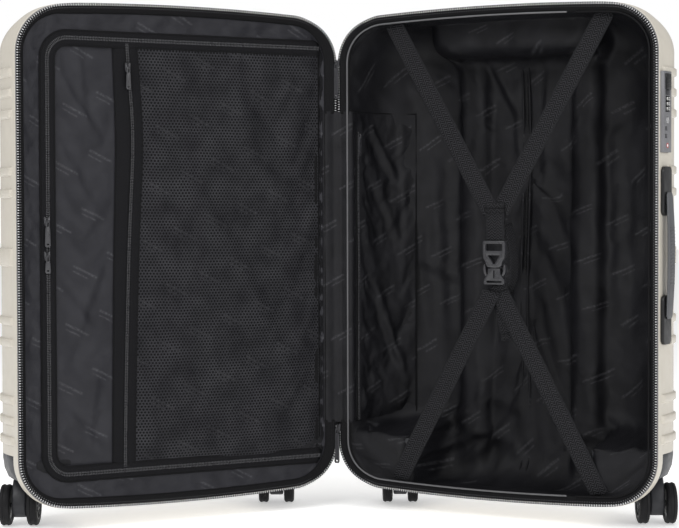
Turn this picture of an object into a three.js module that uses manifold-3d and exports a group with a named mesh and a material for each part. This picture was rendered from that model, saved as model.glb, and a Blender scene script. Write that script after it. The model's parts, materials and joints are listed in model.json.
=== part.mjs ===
// A hard shell suitcase on four twin-wheel casters, standing open like a book.
// Millimetres, +Z up. The base half (the back of the suitcase) is square to the axes: its width runs along
// +X from the spine and its depth along +Y. The lid half is the same tray mirrored, turned open about the
// spine.
// Both halves are modelled in one half frame: X from the hinge line, Y behind the rim, Z above the floor.
import * as THREE from "three";
import { mergeVertices } from "three/addons/utils/BufferGeometryUtils.js";
import Module from "manifold-3d";

const wasm = await Module();
wasm.setup();

// ---------------------------------------------------------------- driving dimensions

const CASE = {
  width: 440,
  height: 620,
  halfDepth: 128,
  wall: 3,
  corner: 58, // seen from the front
  sideRound: 96, // from the side walls to the back
  endRound: 56, // from the top and bottom to the back
  crown: 8, // how far the top and bottom edges fall towards their ends
  spineGap: 6, // from the hinge line to the spine face
  floorGap: 24,
  openAngle: 119, // between the two halves at rest
};
const CORNER_STEPS = 7;
const EDGE_STEPS = 4; // along the crowned top and bottom edges
const PARTING = 0.4; // each half keeps this far behind the parting plane
const GAP = 0.3; // between neighbours that touch
const RIB = { proud: 3, edge: 2, start: 9, height: 12 };
const RIB_OFFSETS = [-228, -203, -177, -106, -79, 79, 106, 177, 203, 228]; // from mid height
const MIDDLE_BAND = 24; // the wide rib at mid height
const RIM = { inset: 3.3, width: 7.7, depth: 3 };
const LINING = { inset: 6, thickness: 1.5 };
const HINGE_COVER = { bottom: 111, top: 518, notch: 2.2, reach: 20, turn: 8 };
const WHEEL = { radius: 25.5, width: 13, offset: 16.8, bore: 3.4, axle: 3 };
const CASTER = {
  edge: 39, // swivel axis from the side of the case
  depth: 86, // swivel axis behind the rim
  trail: 15,
  bodyWidth: 18.4,
  hub: 15.5,
  dome: 11,
  domeTop: 62,
  stem: 7,
  stemTop: 82,
};
const WELL = { front: 14, width: 92, ceiling: 64, top: 94, wall: 3, hollowInset: 32, hollowBack: 92 };
const TROLLEY = { spread: 80, depth: 114.2, top: 606 };
const TUBES = {
  outer: { width: 24, depth: 14, wall: 1, bottom: 68, top: 606 },
  middle: { width: 21, depth: 11, wall: 1, bottom: 84, top: 614 },
  inner: { width: 18, depth: 8, wall: 1.2, bottom: 100, top: 630 },
};
const TROLLEY_HOUSING = { halfWidth: 106, front: 92, bottom: 596, floor: 620 };
const TROLLEY_GRIP = { halfWidth: 96, front: 104, back: 127, bottom: 622, top: 641 };
const TOP_HANDLE = { halfCup: 90, front: 50, back: 84, cupBottom: 625, top: 647 };
const LOCK = { front: 4, back: 29, bottom: 458, top: 555, inner: 440.4, face: 450.4 };
const DIAL = { radius: 6, thickness: 4.6, pitch: 6, middle: 516 };
const SIDE_HANDLE = { half: 107, capLength: 59, front: 5, back: 31, gripFront: 8, gripBack: 28 };
const DIVIDER = { inset: 44, corner: 26, spine: 24, face: 8.5, thickness: 2 };
const STRAP = { width: 25, thickness: 1.6, plane: 9 };
const BUCKLE = { centre: 225, width: 34, depth: 12, top: 351, split: 322, bottom: 295 };

const MID_X = CASE.spineGap + CASE.width / 2;
const MID_Z = CASE.floorGap + CASE.height / 2;
const OUTER_X = CASE.spineGap + CASE.width;

// ---------------------------------------------------------------- materials

const material = (color, roughness, metalness = 0) =>
  new THREE.MeshStandardMaterial({ color, roughness, metalness });
const cream = material("#d8d3c6", 0.45);
const greyPlastic = material("#3a3b3e", 0.5);
const blackPlastic = material("#17181a", 0.45);
const rubber = material("#1c1d20", 0.65);
const nylon = material("#1e1e22", 0.6);
const webbing = material("#242427", 0.85);
const meshFabric = material("#141416", 0.9);
const tape = material("#19191b", 0.8);
const aluminium = material("#9a9da1", 0.35, 0.9);
const steel = material("#b4b6b9", 0.3, 1);
const dialPlastic = material("#2a2b2d", 0.4);

// ---------------------------------------------------------------- solids and booleans

// A BufferGeometry from points and triangles, turned so that its faces point out.
function closedGeometry(points, triangles) {
  let volume = 0;
  for (const [a, b, c] of triangles) volume += points[a].dot(points[b].clone().cross(points[c]));
  const facing = volume > 0 ? triangles : triangles.map(([a, b, c]) => [a, c, b]);
  const geometry = new THREE.BufferGeometry();
  const numbers = points.flatMap((p) => p.toArray());
  geometry.setAttribute("position", new THREE.Float32BufferAttribute(numbers, 3));
  geometry.setIndex(facing.flat());
  return geometry;
}

function solid(geometry) {
  const plain = new THREE.BufferGeometry().setAttribute("position", geometry.getAttribute("position"));
  plain.setIndex(geometry.index);
  const merged = mergeVertices(plain, 1e-4);
  return new wasm.Manifold(
    new wasm.Mesh({
      numProp: 3,
      vertProperties: merged.attributes.position.array,
      triVerts: new Uint32Array(merged.index.array),
    }),
  );
}

function geometryOf(manifold) {
  const mesh = manifold.getMesh();
  const geometry = new THREE.BufferGeometry();
  geometry.setAttribute("position", new THREE.BufferAttribute(mesh.vertProperties, 3));
  geometry.setIndex(new THREE.BufferAttribute(mesh.triVerts, 1));
  return geometry;
}

function box(low, high) {
  const size = high.map((value, i) => value - low[i]);
  const centre = high.map((value, i) => (value + low[i]) / 2);
  return solid(new THREE.BoxGeometry(...size).translate(...centre));
}

// A cylinder of radius r whose axis runs along "x", "y" or "z" between two ends.
function rod(axis, r, from, to, at = [0, 0, 0], segments = 20) {
  const geometry = new THREE.CylinderGeometry(r, r, to - from, segments);
  geometry.translate(0, (from + to) / 2, 0);
  if (axis === "x") geometry.rotateZ(-Math.PI / 2);
  if (axis === "z") geometry.rotateX(Math.PI / 2);
  return solid(geometry.translate(...at));
}

// A flat outline in X and Y, given as [x, y] points, extruded from z = low to z = high.
function prism(outline, low, high) {
  const shape = new THREE.Shape(outline.map(([x, y]) => new THREE.Vector2(x, y)));
  const geometry = new THREE.ExtrudeGeometry(shape, { depth: high - low, bevelEnabled: false });
  return geometry.translate(0, 0, low);
}

// Closed loops of points, each joined to the next. With a middle point for the cap at each end the result
// is a block, and without them the last loop joins the first and the result is a ring.
function loft(loops, capMiddles = null) {
  const count = loops[0].length;
  const points = loops.flat();
  const triangles = [];
  const joins = capMiddles ? loops.length - 1 : loops.length;
  for (let j = 0; j < joins; j++) {
    const low = j * count;
    const high = ((j + 1) % loops.length) * count;
    for (let i = 0; i < count; i++) {
      const next = (i + 1) % count;
      triangles.push([low + i, low + next, high + next], [low + i, high + next, high + i]);
    }
  }
  if (capMiddles) {
    for (const end of [0, loops.length - 1]) {
      const centre = points.length;
      points.push(capMiddles[end === 0 ? 0 : 1]);
      for (let i = 0; i < count; i++) {
        const a = end * count + i;
        const b = end * count + ((i + 1) % count);
        triangles.push(end === 0 ? [b, a, centre] : [a, b, centre]);
      }
    }
  }
  return closedGeometry(points, triangles);
}

// ---------------------------------------------------------------- the outline of the case

// The top and bottom edges fall by the crown towards the sides.
function crowned(x, height) {
  const across = (x - MID_X) / (CASE.width / 2);
  return MID_Z + height * (1 - (CASE.crown / (CASE.height / 2)) * across * across);
}

// How far a round of this radius has moved inwards at this distance past its start.
function roundInset(radius, past) {
  const reach = Math.min(Math.max(past, 0), radius);
  return radius - Math.sqrt(radius * radius - reach * reach);
}

// The front outline at this inset, as a loop of points at depth y. It is a rounded rectangle with a crown.
function outlineLoop(inset, y, radius = CASE.corner - inset) {
  const halfWidth = CASE.width / 2 - inset;
  const halfHeight = CASE.height / 2 - inset;
  const loop = [];
  for (let corner = 0; corner < 4; corner++) {
    const signX = corner === 0 || corner === 3 ? 1 : -1;
    const signZ = corner < 2 ? 1 : -1;
    for (let i = 0; i <= CORNER_STEPS; i++) {
      const angle = ((corner + i / CORNER_STEPS) * Math.PI) / 2;
      const x = MID_X + signX * (halfWidth - radius) + radius * Math.cos(angle);
      loop.push(new THREE.Vector3(x, y, signZ * (halfHeight - radius) + radius * Math.sin(angle)));
    }
    if (corner % 2 === 0) {
      for (let i = 1; i < EDGE_STEPS; i++) {
        const x = MID_X + signX * (halfWidth - radius) * (1 - (2 * i) / EDGE_STEPS);
        loop.push(new THREE.Vector3(x, y, signZ * halfHeight));
      }
    }
  }
  return loop.map((p) => new THREE.Vector3(p.x, y, crowned(p.x, p.z)));
}

// One level of the tray: its section from side to side, open to the front at y = front.
function trayLevel(height, inset, front, proud) {
  const past = Math.abs(height) - CASE.height / 2;
  const halfWidth =
    CASE.width / 2 - inset - roundInset(CASE.corner - inset, past + CASE.corner);
  const depth = CASE.halfDepth - inset - roundInset(CASE.endRound - inset, past + CASE.endRound);
  const radius = Math.min(CASE.sideRound - inset, depth - RIB.start - 6);
  const roundSteps = 5;
  const level = [];
  for (let i = 0; i <= EDGE_STEPS; i++) level.push([((2 * i) / EDGE_STEPS - 1) * halfWidth, front]);
  const side = [
    [halfWidth, RIB.start],
    [halfWidth + proud, RIB.start + 4],
  ];
  for (let i = 0; i <= roundSteps; i++) {
    const angle = ((i / roundSteps) * Math.PI) / 2;
    const out = radius + proud;
    side.push([halfWidth - radius + out * Math.cos(angle), depth - radius + out * Math.sin(angle)]);
  }
  level.push(...side, [0, depth + proud]);
  level.push(...side.reverse().map(([x, y]) => [-x, y]));
  return level.map(([x, y]) => new THREE.Vector3(MID_X + x, y, crowned(MID_X + x, height)));
}

// A loop just inside the end of the block, so that its flat end keeps the crown near the front edge.
function capLoop(level, height) {
  const shrink = 0.97;
  const frontY = RIB.start * 0.8;
  return level.map((p, i) => {
    const x = MID_X + (p.x - MID_X) * shrink;
    return new THREE.Vector3(x, i <= EDGE_STEPS ? frontY : p.y * shrink, crowned(x, height));
  });
}

// The solid block that one half of the case fills, at an inset from its outer face.
function trayBlock(inset, front, ribbed = false) {
  const levels = [];
  const straight = CASE.height / 2 - CASE.corner;
  const radius = CASE.corner - inset;
  const quarter = (i) => ((i / CORNER_STEPS) * Math.PI) / 2;
  for (let i = 0; i <= CORNER_STEPS; i++) levels.push([-straight - radius * Math.cos(quarter(i)), 0]);
  if (ribbed) {
    const ribs = [...RIB_OFFSETS.map((at) => [at, RIB.height / 2]), [0, MIDDLE_BAND / 2]];
    ribs.sort((a, b) => a[0] - b[0]);
    for (const [at, half] of ribs) {
      levels.push([at - half, 0], [at - half + RIB.edge, RIB.proud]);
      levels.push([at + half - RIB.edge, RIB.proud], [at + half, 0]);
    }
  }
  for (let i = 0; i <= CORNER_STEPS; i++) levels.push([straight + radius * Math.sin(quarter(i)), 0]);
  const loops = levels.map(([height, proud]) => trayLevel(height, inset, front, proud));
  const halfHeight = CASE.height / 2 - inset;
  loops.unshift(capLoop(loops[0], -halfHeight));
  loops.push(capLoop(loops.at(-1), halfHeight));
  const capMiddle = (height) => new THREE.Vector3(MID_X, CASE.halfDepth / 3, MID_Z + height);
  return solid(loft(loops, [capMiddle(-halfHeight), capMiddle(halfHeight)]));
}

// ---------------------------------------------------------------- shells, rims and linings

const SIDES = [-1, 1]; // the spine side and the outer side
const BEYOND = 20; // how far a cut runs past the outside of the case
const swivelX = (side) => MID_X + side * (CASE.width / 2 - CASTER.edge);

// The corner that a caster housing takes out of the case, grown by a clearance.
function cornerBox(side, grow) {
  const edge = MID_X + side * (CASE.width / 2 + BEYOND);
  const inner = MID_X + side * (CASE.width / 2 - WELL.width - grow);
  const low = [Math.min(edge, inner), WELL.front - grow, 0];
  const high = [Math.max(edge, inner), CASE.halfDepth + BEYOND, WELL.top + grow];
  return box(low, high);
}

// The edge strip at the spine that the hinge cover lies in.
function spineNotch() {
  return box(
    [-1, -1, HINGE_COVER.bottom - 3],
    [HINGE_COVER.reach + 1, HINGE_COVER.notch, HINGE_COVER.top + 3],
  );
}

function plainShell() {
  let shell = trayBlock(0, PARTING, true).subtract(trayBlock(CASE.wall, -5));
  for (const side of SIDES) shell = shell.subtract(cornerBox(side, 0));
  return shell.subtract(spineNotch());
}

const lockCut = () =>
  box(
    [LOCK.inner - 5, LOCK.front - GAP, LOCK.bottom - GAP],
    [OUTER_X + BEYOND, LOCK.back + GAP, LOCK.top + GAP],
  );
const housingCut = (grow) =>
  box(
    [MID_X - TROLLEY_HOUSING.halfWidth - grow, TROLLEY_HOUSING.front - grow, TROLLEY_HOUSING.bottom - grow],
    [MID_X + TROLLEY_HOUSING.halfWidth + grow, CASE.halfDepth + BEYOND, MID_Z + CASE.height / 2 + BEYOND],
  );
const cupCut = (grow) =>
  box(
    [MID_X - TOP_HANDLE.halfCup - grow, TOP_HANDLE.front - grow, TOP_HANDLE.cupBottom - grow],
    [MID_X + TOP_HANDLE.halfCup + grow, TOP_HANDLE.back + grow, MID_Z + CASE.height / 2 + BEYOND],
  );

// The side handle's two legs pass through the wall here.
const HANDLE_LEG = { front: 12, back: 24, halfHeight: 6, offset: 66 };
const handleLegZ = [MID_Z - HANDLE_LEG.offset, MID_Z + HANDLE_LEG.offset];

// A leg's block, grown by a clearance, between two distances from the hinge line.
function legBlock(z, grow, from, to) {
  const { front, back, halfHeight } = HANDLE_LEG;
  return box([from, front - grow, z - halfHeight - grow], [to, back + grow, z + halfHeight + grow]);
}

function baseShell() {
  let shell = plainShell().subtract(lockCut()).subtract(housingCut(0)).subtract(cupCut(0));
  // The ribs stop where the side handle sits.
  const clear = box(
    [OUTER_X, SIDE_HANDLE.front - 1, MID_Z - SIDE_HANDLE.half - 3],
    [OUTER_X + BEYOND, SIDE_HANDLE.back + 4, MID_Z + SIDE_HANDLE.half + 3],
  );
  shell = shell.subtract(clear);
  for (const z of handleLegZ) {
    shell = shell.subtract(legBlock(z, 0.5, OUTER_X - 8, OUTER_X + BEYOND));
  }
  return geometryOf(shell);
}

function rimRing() {
  const front = PARTING;
  const back = PARTING + RIM.depth;
  const outer = RIM.inset;
  const inner = RIM.inset + RIM.width;
  const section = [
    [outer, front],
    [inner, front],
    [inner, back],
    [outer, back],
  ];
  const ring = loft(section.map(([inset, y]) => outlineLoop(inset, y)));
  return geometryOf(solid(ring).subtract(spineNotch()));
}

// The space that the lining keeps out of: the caster corners, and in the base the trolley and the top
// handle.
function liningHumps(grow, withTrolley) {
  const humps = SIDES.map((side) => cornerBox(side, grow));
  if (withTrolley) {
    for (const side of SIDES) {
      const x = MID_X + side * TROLLEY.spread;
      const half = TUBES.outer.width / 2 + grow;
      const front = TROLLEY.depth - TUBES.outer.depth / 2 - grow;
      humps.push(box([x - half, front, 0], [x + half, CASE.halfDepth + BEYOND, CASE.height]));
    }
    humps.push(
      box(
        [MID_X - TROLLEY_HOUSING.halfWidth - grow, TOP_HANDLE.front - grow, TROLLEY_HOUSING.bottom - grow],
        [MID_X + TROLLEY_HOUSING.halfWidth + grow, CASE.halfDepth + BEYOND, CASE.height * 2],
      ),
    );
  }
  return humps;
}

function trayLining(withTrolley) {
  const front = PARTING + RIM.depth + GAP;
  let outside = trayBlock(LINING.inset, front);
  let inside = trayBlock(LINING.inset + LINING.thickness, -5);
  for (const hump of liningHumps(1, withTrolley)) outside = outside.subtract(hump);
  for (const hump of liningHumps(1 + LINING.thickness, withTrolley)) inside = inside.subtract(hump);
  return outside.subtract(inside);
}

// The lid's lining also has a flat margin round the divider, which the divider zips to.
function lidLining() {
  const back = DIVIDER.face + DIVIDER.thickness;
  const hole = solid(dividerPlate(GAP, -5, CASE.halfDepth));
  const middles = [DIVIDER.face, back].map((y) => new THREE.Vector3(MID_X, y, MID_Z));
  const inset = LINING.inset + 0.5;
  const blank = loft([outlineLoop(inset, DIVIDER.face), outlineLoop(inset, back)], middles);
  return geometryOf(trayLining(false).add(solid(blank).subtract(hole)));
}

// ---------------------------------------------------------------- divider

// The divider's outline, grown by a clearance, between two depths. Its spine edge has the hinge seam.
function dividerPlate(grow, front, back) {
  const right = OUTER_X - DIVIDER.inset + grow;
  const left = DIVIDER.spine - grow;
  const top = MID_Z + CASE.height / 2 - DIVIDER.inset + grow;
  const bottom = MID_Z - CASE.height / 2 + DIVIDER.inset - grow;
  const r = DIVIDER.corner + grow;
  const outline = [
    [left, bottom],
    [right - r, bottom],
  ];
  const steps = 6;
  for (let i = 1; i < steps; i++) {
    const angle = ((i / steps) * Math.PI) / 2;
    outline.push([right - r + r * Math.sin(angle), bottom + r - r * Math.cos(angle)]);
  }
  outline.push([right, bottom + r], [right, top - r]);
  for (let i = 1; i < steps; i++) {
    const angle = ((i / steps) * Math.PI) / 2;
    outline.push([right - r + r * Math.cos(angle), top - r + r * Math.sin(angle)]);
  }
  outline.push([right - r, top], [left, top]);
  // The outline is drawn in X and Z, so the prism stands up and its height becomes the depth.
  const plate = prism(outline, 0, back - front);
  plate.rotateX(Math.PI / 2);
  return plate.translate(0, back, 0);
}

const dividerPanel = () => dividerPlate(0, DIVIDER.face, DIVIDER.face + DIVIDER.thickness);

// The mesh pocket lies on the divider, between its spine seam and the band of its zip.
const POCKET = { margin: 12, end: 316, thickness: 2, slider: { x: 297, z: 561 } };
function meshPocket() {
  const half = CASE.height / 2 - DIVIDER.inset - POCKET.margin;
  const back = DIVIDER.face - GAP;
  return geometryOf(
    box([DIVIDER.spine + 4, back - POCKET.thickness, MID_Z - half], [POCKET.end, back, MID_Z + half]),
  );
}

// ---------------------------------------------------------------- zip sliders

// A slider body with its pull tab hanging below it, modelled at its own origin, facing -Y.
function zipSlider(width, bodyHeight, tabLength) {
  const body = box([-width / 2, -3.4, 0], [width / 2, 0, bodyHeight]);
  const neck = box([-1.6, -3.4, -3], [1.6, -1.6, 1]);
  const tab = box([-width / 2 + 1, -3.4, -tabLength], [width / 2 - 1, -1.4, -2]);
  return geometryOf(body.add(neck).add(tab));
}

// ---------------------------------------------------------------- hinge cover and spine pocket

function hingeCover() {
  const low = HINGE_COVER.bottom;
  const high = HINGE_COVER.top;
  const face = box([GAP, 0.6, low], [HINGE_COVER.reach, HINGE_COVER.notch - GAP, high]);
  const turn = box([HINGE_COVER.reach - 1.4, 0.6, low], [HINGE_COVER.reach, HINGE_COVER.turn, high]);
  return geometryOf(face.add(turn));
}

// The pocket follows the lining from the spine wall round to the back.
function spinePocket() {
  const wall = (inset) => {
    const radius = CASE.sideRound - inset;
    const centreY = CASE.halfDepth - CASE.sideRound;
    const points = [[CASE.spineGap + inset, HINGE_COVER.turn + 1]];
    const steps = 6;
    const sweep = 1.02; // radians, to where the pocket ends on the back
    for (let i = 0; i <= steps; i++) {
      const angle = (i / steps) * sweep;
      const x = CASE.spineGap + CASE.sideRound - radius * Math.cos(angle);
      points.push([x, centreY + radius * Math.sin(angle)]);
    }
    return points;
  };
  return prism([...wall(11.3), ...wall(9.8).reverse()], HINGE_COVER.bottom, HINGE_COVER.top);
}

// ---------------------------------------------------------------- packing straps

// A flat band from one point to another, its face towards the front.
function band(from, to, width, thickness) {
  const start = new THREE.Vector3(...from);
  const end = new THREE.Vector3(...to);
  const along = end.clone().sub(start);
  const length = along.length();
  along.normalize();
  const across = new THREE.Vector3(0, 1, 0).cross(along).normalize();
  const through = along.clone().cross(across);
  const basis = new THREE.Matrix4().makeBasis(across, through, along);
  basis.setPosition(start.add(end).multiplyScalar(0.5));
  return new THREE.BoxGeometry(width, thickness, length).applyMatrix4(basis);
}

function buckleSocket() {
  const half = BUCKLE.width / 2;
  const x = BUCKLE.centre;
  const front = STRAP.plane - BUCKLE.depth / 2;
  const back = STRAP.plane + BUCKLE.depth / 2;
  const body = box([x - half, front, BUCKLE.split], [x + half, back, BUCKLE.top]);
  const slot = box([x - 13.5, front - 1, BUCKLE.top - 9], [x + 13.5, back + 1, BUCKLE.top - 4]);
  const mouth = box([x - 13, front + 3, BUCKLE.split - 1], [x + 13, back - 3, BUCKLE.top - 12]);
  return geometryOf(body.subtract(slot).subtract(mouth));
}

function buckleClip() {
  const half = BUCKLE.width / 2;
  const x = BUCKLE.centre;
  const front = STRAP.plane - BUCKLE.depth / 2;
  const back = STRAP.plane + BUCKLE.depth / 2;
  const low = BUCKLE.bottom;
  const body = box([x - half, front, low], [x + half, back, BUCKLE.split - GAP]);
  const slot = box([x - 13.5, front - 1, low + 4], [x + 13.5, back + 1, low + 9]);
  let clip = body.subtract(slot);
  for (const side of SIDES) {
    const near = x + side * 12.4;
    const far = x + side * 8.4;
    const prong = box(
      [Math.min(near, far), front + 3.4, BUCKLE.split - 2],
      [Math.max(near, far), back - 3.4, BUCKLE.top - 13],
    );
    clip = clip.add(prong);
  }
  return geometryOf(clip);
}

// ---------------------------------------------------------------- casters

// The corner housing: the plate that holds the swivel, and the walls of the wheel well.
function casterHousing(side) {
  const corner = trayBlock(0.2, PARTING);
  const centre = [swivelX(side), CASTER.depth, 0];
  const edge = MID_X + side * (CASE.width / 2 + BEYOND);
  const inner = MID_X + side * (CASE.width / 2 - WELL.width + GAP);
  const wellInner = MID_X + side * (CASE.width / 2 - WELL.width + WELL.wall);
  const span = (a, b) => [Math.min(a, b), Math.max(a, b)];
  const [low, high] = span(edge, inner);
  const [wellLow, wellHigh] = span(edge, wellInner);
  const back = CASE.halfDepth + BEYOND;
  let housing = corner.intersect(box([low, WELL.front + GAP, 0], [high, back, WELL.top - GAP]));
  const well = box([wellLow, WELL.front + WELL.wall, -1], [wellHigh, back, WELL.ceiling]);
  housing = housing.subtract(well);
  // Above the ceiling it is hollow, with a boss round the stem.
  const [hollowLow, hollowHigh] = span(wellInner, MID_X + side * (CASE.width / 2 - WELL.hollowInset));
  let hollow = box(
    [hollowLow, WELL.front + WELL.wall, WELL.ceiling + WELL.wall],
    [hollowHigh, WELL.hollowBack, WELL.top + 1],
  );
  hollow = hollow.subtract(rod("z", CASTER.stem + 4, 0, WELL.top + 5, centre, 12));
  housing = housing.subtract(hollow);
  housing = housing.subtract(rod("z", CASTER.stem + 0.4, 0, CASTER.stemTop + 0.6, centre, 12));
  return geometryOf(housing);
}

// The swivelling body, its axis at the origin and its wheels trailing along +X.
function casterFork() {
  const axleZ = WHEEL.radius;
  const outline = [
    [-17, CASTER.domeTop - 6],
    [-12, 40],
    [CASTER.trail - 14, axleZ - 6],
  ];
  const steps = 8;
  for (let i = 0; i <= steps; i++) {
    const angle = -2.4 + (i / steps) * 2.6;
    const x = CASTER.trail + CASTER.hub * Math.cos(angle);
    outline.push([x, axleZ + CASTER.hub * Math.sin(angle)]);
  }
  outline.push([26, 44], [19, CASTER.domeTop - 6]);
  const cheek = prism(outline, -CASTER.bodyWidth / 2, CASTER.bodyWidth / 2).rotateX(Math.PI / 2);
  return geometryOf(
    solid(cheek)
      .add(rod("z", CASTER.dome, CASTER.domeTop - 7, CASTER.domeTop, [0, 0, 0], 16))
      .add(rod("z", CASTER.stem, CASTER.domeTop - 1, CASTER.stemTop, [0, 0, 0], 12))
      .add(rod("y", WHEEL.axle, -WHEEL.offset - 5, WHEEL.offset + 5, [CASTER.trail, 0, axleZ], 12)),
  );
}

// One wheel about its own axle, which runs along Y.
function wheel() {
  const half = WHEEL.width / 2;
  const r = WHEEL.radius;
  const profile = [
    [WHEEL.bore, -half + 1],
    [r - 3, -half],
    [r, -half + 3],
    [r, half - 3],
    [r - 3, half],
    [WHEEL.bore, half - 1],
  ];
  const points = [...profile, profile[0]].map(([x, y]) => new THREE.Vector2(x, y));
  return new THREE.LatheGeometry(points, 20);
}

function addCasters(half, prefix) {
  for (const side of SIDES) {
    const place = side < 0 ? "spine" : "outer";
    add(half, `${prefix}_caster_housing_${place}`, casterHousing(side), greyPlastic);
    const caster = new THREE.Group();
    caster.position.set(swivelX(side), CASTER.depth, 0);
    caster.rotation.z = THREE.MathUtils.degToRad(-CASE.openAngle / 2);
    half.add(caster);
    add(caster, `${prefix}_caster_fork_${place}`, casterFork(), greyPlastic);
    for (const which of SIDES) {
      const name = `${prefix}_wheel_${place}_${which < 0 ? "a" : "b"}`;
      const one = add(caster, name, wheel(), rubber);
      one.position.set(CASTER.trail, which * WHEEL.offset, WHEEL.radius);
    }
  }
}

// ---------------------------------------------------------------- lock

const LOCK_AXLE_X = 446.8;
const KEY = { z: 496.5, radius: 4, y: 16.5 };

function lockBody() {
  const dialsLow = DIAL.middle - 1.5 * DIAL.pitch - 0.6;
  const dialsHigh = DIAL.middle + 1.5 * DIAL.pitch + 0.6;
  const y = KEY.y;
  let body = box([LOCK.inner, LOCK.front, LOCK.bottom], [LOCK.face, LOCK.back, LOCK.top]);
  body = body.subtract(box([LOCK.inner - 1, y - 6.6, dialsLow], [LOCK.face + 1, y + 6.6, dialsHigh]));
  body = body.subtract(rod("x", KEY.radius + 0.4, LOCK.inner + 1.5, LOCK.face + 1, [0, y, KEY.z]));
  body = body.subtract(box([LOCK.face - 5, y - 7.6, 526.6], [LOCK.face + 1, y + 7.6, 552.4]));
  for (const z of [486.5, 477.5]) {
    body = body.subtract(box([LOCK.face - 5, y - 8, z - 2.6], [LOCK.face + 1, y - 1, z + 2.6]));
  }
  return geometryOf(body.add(rod("z", 1, dialsLow - 1, dialsHigh + 1, [LOCK_AXLE_X, y, 0], 10)));
}

// A dial, turning on the lock's vertical axle.
function dial() {
  const half = DIAL.thickness / 2;
  const profile = [
    [1.35, -half],
    [DIAL.radius - 0.5, -half],
    [DIAL.radius, -half + 0.5],
    [DIAL.radius, half - 0.5],
    [DIAL.radius - 0.5, half],
    [1.35, half],
  ];
  const points = [...profile, profile[0]].map(([x, y]) => new THREE.Vector2(x, y));
  return new THREE.LatheGeometry(points, 15).rotateX(Math.PI / 2);
}

function keyCylinder() {
  const body = rod("x", KEY.radius, LOCK.inner + 2, LOCK.face + 0.6);
  return geometryOf(body.subtract(box([LOCK.face - 3, -0.6, -2.6], [LOCK.face + 2, 0.6, 2.6])));
}

const RELEASE = { proud: 2.2, sunk: 4.4, half: 7, bottom: 533, top: 552 };
function lockRelease() {
  const low = [LOCK.face - RELEASE.sunk, KEY.y - RELEASE.half, RELEASE.bottom];
  return geometryOf(box(low, [LOCK.face + RELEASE.proud, KEY.y + RELEASE.half, RELEASE.top]));
}

// ---------------------------------------------------------------- handles

function sideHandleCap(side) {
  const outer = MID_Z + side * SIDE_HANDLE.half;
  const inner = MID_Z + side * (SIDE_HANDLE.half - SIDE_HANDLE.capLength);
  const leg = MID_Z + side * HANDLE_LEG.offset;
  const low = Math.min(outer, inner);
  const high = Math.max(outer, inner);
  const cap = box([OUTER_X + GAP, SIDE_HANDLE.front, low], [OUTER_X + 4.5, SIDE_HANDLE.back, high]);
  return geometryOf(cap.subtract(legBlock(leg, GAP, OUTER_X - 9, OUTER_X + BEYOND)));
}

// The grip is a shallow arch outside the caps, with a leg through each cap into the case.
function sideHandleGrip() {
  const rise = 1.5;
  const steps = 8;
  const reach = 76;
  const inside = OUTER_X + 4.9;
  const outline = [];
  for (let i = 0; i <= steps; i++) {
    const t = (2 * i) / steps - 1;
    outline.push([inside + rise * (1 - t * t), t * reach]);
  }
  for (let i = steps; i >= 0; i--) {
    const t = (2 * i) / steps - 1;
    outline.push([inside + 3.2 + 1.6 * (1 - t * t) + rise * (1 - t * t), t * reach]);
  }
  const arch = prism(outline, SIDE_HANDLE.gripFront, SIDE_HANDLE.gripBack);
  // The outline is drawn in X and Z, so it is stood up, and its run becomes the depth.
  arch.rotateX(Math.PI / 2).translate(0, SIDE_HANDLE.gripFront + SIDE_HANDLE.gripBack, MID_Z);
  let grip = solid(arch);
  for (const z of handleLegZ) grip = grip.add(legBlock(z, 0, LOCK.inner + 0.2, inside + 1.5));
  return geometryOf(grip);
}

function topHandleCup() {
  const high = MID_Z + CASE.height / 2 + 1;
  const cup = box(
    [MID_X - TOP_HANDLE.halfCup + GAP, TOP_HANDLE.front + GAP, TOP_HANDLE.cupBottom + GAP],
    [MID_X + TOP_HANDLE.halfCup - GAP, TOP_HANDLE.back - GAP, high],
  );
  const hollow = box(
    [MID_X - TOP_HANDLE.halfCup + 2, TOP_HANDLE.front + 2, TOP_HANDLE.cupBottom + 2],
    [MID_X + TOP_HANDLE.halfCup - 2, TOP_HANDLE.back - 2, high + 1],
  );
  return geometryOf(cup.subtract(hollow));
}

function topHandleGrip() {
  const half = TOP_HANDLE.halfCup - 4;
  const bar = box([MID_X - half, 58, TOP_HANDLE.top - 7], [MID_X + half, 76, TOP_HANDLE.top]);
  let grip = bar;
  for (const side of SIDES) {
    const a = MID_X + side * half;
    const b = MID_X + side * (half - 8);
    grip = grip.add(
      box([Math.min(a, b), 60, TOP_HANDLE.cupBottom + 2.5], [Math.max(a, b), 74, TOP_HANDLE.top - 6]),
    );
  }
  return geometryOf(grip);
}

// ---------------------------------------------------------------- trolley

function tube({ width, depth, wall, bottom, top }) {
  const outside = box([-width / 2, -depth / 2, bottom], [width / 2, depth / 2, top]);
  const bore = box(
    [-width / 2 + wall, -depth / 2 + wall, bottom - 1],
    [width / 2 - wall, depth / 2 - wall, top + 1],
  );
  return geometryOf(outside.subtract(bore));
}

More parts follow.
